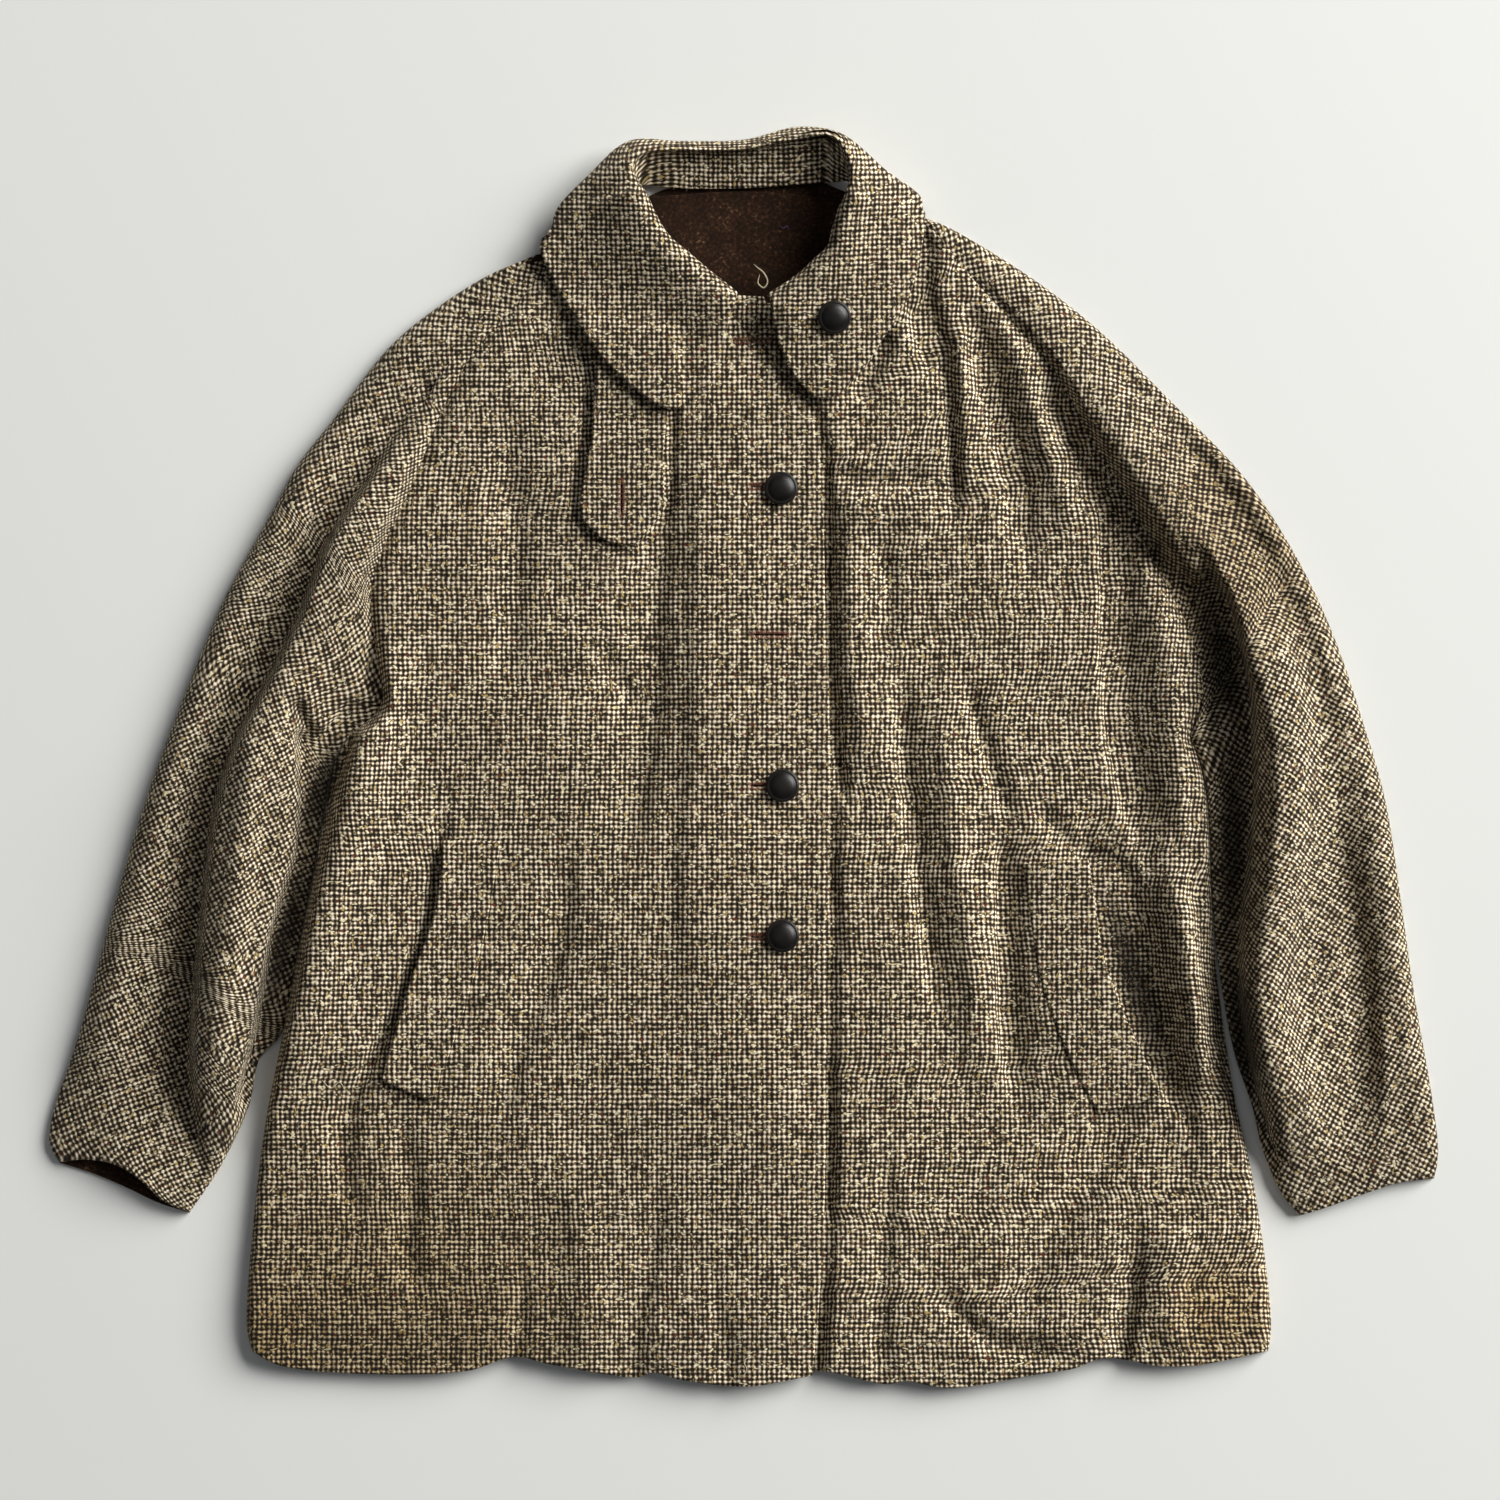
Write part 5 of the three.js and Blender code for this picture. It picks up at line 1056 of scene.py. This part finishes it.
# Stitches along a line, each lying across it
def threadTree():
    tree, given, sockets = newGroup("stitches", {"Spacing": "Float", "Length": "Float", "Thickness": "Float",
                                                 "Thread": "Material"})
    line = addNode(tree, "GeometryNodeMeshToCurve", {}, {"Mesh": given["Geometry"]})
    even = addNode(tree, "GeometryNodeResampleCurve", {"mode": "LENGTH"},
                   {"Curve": line.outputs["Curve"], "Length": given["Spacing"]})
    tangent = addNode(tree, "GeometryNodeInputTangent")
    turn = addNode(tree, "FunctionNodeAlignRotationToVector", {"axis": "X", "pivot_axis": "Z"},
                   {"Vector": tangent.outputs[0]})
    turned = addNode(tree, "FunctionNodeRotateRotation", {"rotation_space": "LOCAL"},
                     {0: turn.outputs[0], 1: randomVector(tree, (-0.1, -0.1, -0.22), (0.1, 0.1, 0.22), 5)})
    stitch = addNode(tree, "GeometryNodeMeshUVSphere", {}, {"Segments": 8, "Rings": 6, "Radius": 0.5})
    size = addNode(tree, "ShaderNodeCombineXYZ", {}, {
        "X": given["Thickness"], "Y": given["Length"], "Z": given["Thickness"]})
    shaped = addNode(tree, "GeometryNodeTransform", {},
                     {"Geometry": stitch.outputs[0], "Scale": size.outputs[0]})
    placed = addNode(tree, "GeometryNodeInstanceOnPoints", {}, {
        "Points": even.outputs[0], "Instance": shaped.outputs[0], "Rotation": turned.outputs[0],
        "Scale": randomVector(tree, (0.85, 0.75, 0.8), (1.25, 1.15, 1.2), 9)})
    handOut(tree, placed, given["Thread"], smooth=True)
    return tree, sockets


stitchTree, stitchSockets = threadTree()


# Stitches across each of some lines, which lie on a piece's face
def stitched(name, cloth, lines, material):
    thickness = buttonholes["stitchThick"]
    corners, edges = [], []
    for line in lines:
        start = len(corners)
        for x, y in line:
            level = faceLevel(cloth, x, y)
            if level is not None:
                corners.append((x * mm, y * mm, (level + thickness * 0.2) * mm))
        edges += [(k, k + 1) for k in range(start, len(corners) - 1)]
    piece = newPiece(name, corners, [], edges=edges, smooth=False)
    return grow(piece, stitchTree, stitchSockets, {
        "Spacing": buttonholes["stitchEvery"] * mm, "Length": buttonholes["stitchLong"] * mm,
        "Thickness": thickness * mm, "Thread": material})


# The lines of a buttonhole's stitches, one on each side of its slit
def bindings(places, along):
    across = np.array((-along[1], along[0]), float)
    lines = []
    for place in places:
        middle = np.array(place, float) + lay["middle"]
        half, lip = buttonholes["long"] / 2, buttonholes["lip"]
        for side in (-1, 1):
            lines.append([middle + np.array(along) * share * half
                          + across * side * lip * (1 if abs(share) < 0.95 else 0.5)
                          for share in np.linspace(-1.06, 1.06, 12)])
    return lines


rustThread = thread("rust_buttonhole_thread", "#7a3f2b")
cutSlits(frontRight, buttonholes["front"], (1, 0))
cutSlits(tabPiece, buttonholes["tab"], (0, 1))
frontStitches = stitched("front_buttonhole_stitches", frontRight, bindings(buttonholes["front"], (1, 0)),
                         rustThread)
tabStitches = stitched("tab_buttonhole_stitches", tabPiece, bindings(buttonholes["tab"], (0, 1)), rustThread)
print("coat: buttonholes made")


# A thread: a round tube along a smooth path, tapered at both ends
def tube(name, path, radius, material, steps=60, sides=8):
    spots = onLine(np.asarray(path, float), np.linspace(0, 1, steps))
    ahead = np.gradient(spots, axis=0)
    ahead /= np.linalg.norm(ahead, axis=1, keepdims=True)
    aside = np.cross(ahead, (0.03, 0.02, 1))
    aside /= np.linalg.norm(aside, axis=1, keepdims=True)
    up = np.cross(ahead, aside)
    turns = np.linspace(0, 2 * math.pi, sides, endpoint=False)
    taper = np.minimum(1, 0.35 + 3 * np.minimum(np.arange(steps), np.arange(steps)[::-1]) / steps)
    rings = spots[:, None] + radius * taper[:, None, None] * (
        aside[:, None] * np.cos(turns)[None, :, None] + up[:, None] * np.sin(turns)[None, :, None])
    faces = []
    for step in range(steps - 1):
        at = step * sides
        faces += [(at + k, at + sides + k, at + sides + (k + 1) % sides, at + (k + 1) % sides)
                  for k in range(sides)]
    faces += [tuple(range(sides)), tuple(range(steps * sides - 1, (steps - 1) * sides - 1, -1))]
    return newPiece(name, (rings.reshape(-1, 3) * mm).tolist(), faces, [material])


# A path that lies on a piece: places in plan, and how far above the face
def onFace(cloth, places, above=0.4):
    dense = onLine(places, np.linspace(0, 1, 4 * len(places)))
    path = []
    for x, y in dense + np.array(lay["middle"]):
        level = faceLevel(cloth, x, y)
        if level is not None:
            path.append((x, y, level + above))
    return path


creamThread = thread("cream_cotton_thread", "#cfc2a2")
purpleLint = thread("purple_lint", "#5a3f63")
strays = [
    tube("neck_hanging_loop", [(7, 344, 9), (9.5, 341, 12), (14, 337, 13), (16.5, 331, 12.4), (14, 327, 12),
                               (10, 330, 12.6), (11, 336, 12.8)], 0.55, creamThread),
    tube("stray_thread_side", onFace(frontRight, [(-293, -224), (-287, -230), (-281, -226), (-277, -232)]), 0.3,
         creamThread),
    tube("stray_thread_hem", onFace(frontRight, [(-2, -432), (2, -426), (0, -420), (5, -416)]),
         0.3, creamThread),
    tube("lint_at_neck", onFace(innerPiece, [(25, 371), (27, 369), (30, 370.5), (31, 368)]), 0.3, purpleLint),
]
print("coat: threads laid")

# Fibres: wool hairs that stand out of the nap here and there
fibres = {"perSquareMetre": 9000, "long": 3.4, "thick": 0.07, "seed": 14}


def fibreTree():
    tree, given, sockets = newGroup("fibres", {"Density": "Float", "Length": "Float", "Thickness": "Float",
                                               "Seed": "Int", "Fibre": "Material"})
    normal = addNode(tree, "GeometryNodeInputNormal")
    upward = addNode(tree, "ShaderNodeSeparateXYZ", {}, {0: normal.outputs[0]})
    outside = addNode(tree, "FunctionNodeCompare", {"operation": "GREATER_THAN"},
                      {0: upward.outputs["Z"], 1: -0.1})
    spots = addNode(tree, "GeometryNodeDistributePointsOnFaces", {}, {
        "Mesh": given["Geometry"], "Selection": outside.outputs[0], "Density": given["Density"],
        "Seed": given["Seed"]})
    bow = addNode(tree, "GeometryNodeCurveQuadraticBezier", {}, {
        "Resolution": 4, "Start": (0, 0, -0.02), "Middle": (0.15, 0, 0.42), "End": (0.8, 0, 0.55)})
    ring = addNode(tree, "GeometryNodeCurvePrimitiveCircle", {},
                   {"Resolution": 3, "Radius": given["Thickness"]})
    long = vectorMath(tree, "SCALE", {0: (1, 1, 1), "Scale": given["Length"]})[0]
    bowed = addNode(tree, "GeometryNodeTransform", {}, {"Geometry": bow.outputs[0], "Scale": long})
    hair = addNode(tree, "GeometryNodeCurveToMesh", {}, {
        "Curve": bowed.outputs[0], "Profile Curve": ring.outputs[0], "Fill Caps": True})
    spin = randomVector(tree, (-0.7, -0.7, 0), (0.7, 0.7, 2 * math.pi), given["Seed"])
    turned = addNode(tree, "FunctionNodeRotateRotation", {"rotation_space": "LOCAL"},
                     {0: spots.outputs["Rotation"], 1: spin})
    placed = addNode(tree, "GeometryNodeInstanceOnPoints", {}, {
        "Points": spots.outputs["Points"], "Instance": hair.outputs[0], "Rotation": turned.outputs[0],
        "Scale": randomVector(tree, (0.4, 0.4, 0.3), (1.3, 1.3, 1.2), given["Seed"])})
    handOut(tree, placed, given["Fibre"])
    return tree, sockets


hairTree, hairSockets = fibreTree()
paleFibre = thread("pale_wool_fibre", "#b3a78d")
hairs = []
hairy = {"front_right": frontRight, "front_left": frontLeft, "right_sleeve": sleevePieces["right"],
         "left_sleeve": sleevePieces["left"], "collar": collar}
for place, (name, cloth) in enumerate(hairy.items()):
    hairs.append(grow(linked("wool_fibres_" + name, cloth.data.copy()), hairTree, hairSockets, {
        "Density": fibres["perSquareMetre"], "Length": fibres["long"] * mm, "Thickness": fibres["thick"] * mm,
        "Seed": fibres["seed"] + place, "Fibre": paleFibre}))
print("coat: fibres grown", [len(piece.data.polygons) for piece in hairs])

# Floor, light and camera
plaster = finished(newMaterial("pale_plaster_floor")[0], {"Base Color": linear("#f1f2ef"), "Roughness": 0.9})
floorHalf, floorDown = 6, -0.0002       # metres
floorCorners = [(x * floorHalf, y * floorHalf, floorDown) for x, y in ((-1, -1), (1, -1), (1, 1), (-1, 1))]
floor = newPiece("floor", floorCorners, [(0, 1, 2, 3)], [plaster], smooth=False)

# A wide window at the upper right, low and some way off, and a pale ceiling
lamps = {
    "window": {"from": (1.0, 0.62, 0.62), "away": 9.0, "size": (7.0, 5.0), "power": 1480, "colour": "#fffefb"},
    "ceiling": {"from": (-0.5, 0.2, 1.6), "away": 5.0, "size": (6.0, 6.0), "power": 16, "colour": "#f4f7ff"},
}
for name, lamp in lamps.items():
    light = bpy.data.lights.new(name, "AREA")
    light.shape = "RECTANGLE"
    light.size, light.size_y = lamp["size"]
    light.energy = lamp["power"]
    light.color = linear(lamp["colour"])[:3]
    holder = linked(name, light)
    holder.location = Vector(lamp["from"]).normalized() * lamp["away"]
    holder.rotation_euler = (-Vector(lamp["from"])).to_track_quat("-Z", "Y").to_euler()

world = bpy.data.worlds.new("room")
world.use_nodes = True
background = world.node_tree.nodes["Background"].inputs
background["Color"].default_value = linear("#f2f4f6")
background["Strength"].default_value = 0.08
bpy.context.scene.world = world
bpy.context.scene.view_settings.view_transform = "Standard"

camera = bpy.data.cameras.new("camera")
camera.sensor_width = 36
floorSeen = 1050                    # millimetres of floor across the picture
camera.lens = camera.sensor_width * lay["eyeHeight"] / floorSeen
camera.clip_start, camera.clip_end = 0.05, 20
eye = linked("camera", camera)
over = np.add(lay["cameraOver"], lay["middle"])
eye.location = (over[0] * mm, over[1] * mm, lay["eyeHeight"] * mm)
bpy.context.scene.camera = eye
print("coat: floor, light and camera placed")

# What each piece stands for, its finish, the size and area that its cloth was cut to, and what it rests on
cuts = {
    "front_right": (frontRight, "tweed", (0.42, 0.83), 0.266, ["back"]),
    "front_left": (frontLeft, "tweed", (0.41, 0.83), 0.253, ["back"]),
    "back": (back, "tweed", (0.71, 0.84), 0.465, []),
    "inner_back": (innerPiece, "inner_wool", (0.18, 0.09), 0.0137, ["back"]),
    "right_sleeve_front": (sleevePieces["right"], "tweed", (0.2, 0.76), 0.092, ["right_sleeve_back"]),
    "right_sleeve_back": (sleevePieces["rightBack"], "tweed", (0.19, 0.76), 0.073, []),
    "left_sleeve_front": (sleevePieces["left"], "tweed", (0.2, 0.76), 0.089, ["left_sleeve_back"]),
    "left_sleeve_back": (sleevePieces["leftBack"], "tweed", (0.19, 0.76), 0.072, []),
    "right_sleeve_inside": (cuffPiece, "inner_wool", (0.075, 0.06), 0.0033, ["right_sleeve_back"]),
    "collar": (collar, "tweed", (0.56, 0.12), 0.042, ["front_right", "front_left"]),
    "throat_tab": (tabPiece, "tweed", (0.06, 0.145), 0.0074, ["front_right"]),
    "right_pocket_welt": (weltPieces["right"], "tweed", (0.05, 0.19), 0.0075, ["front_right"]),
    "left_pocket_welt": (weltPieces["left"], "tweed", (0.055, 0.19), 0.0087, ["front_left"]),
}
for node, (piece, slot, flat, area, under) in cuts.items():
    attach(piece, "root")
    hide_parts(node)
for node, piece in buttons.items():
    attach(piece, "root")
    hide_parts(node)
for piece in [frontStitches, tabStitches, *strays, *hairs]:
    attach(piece, "root")
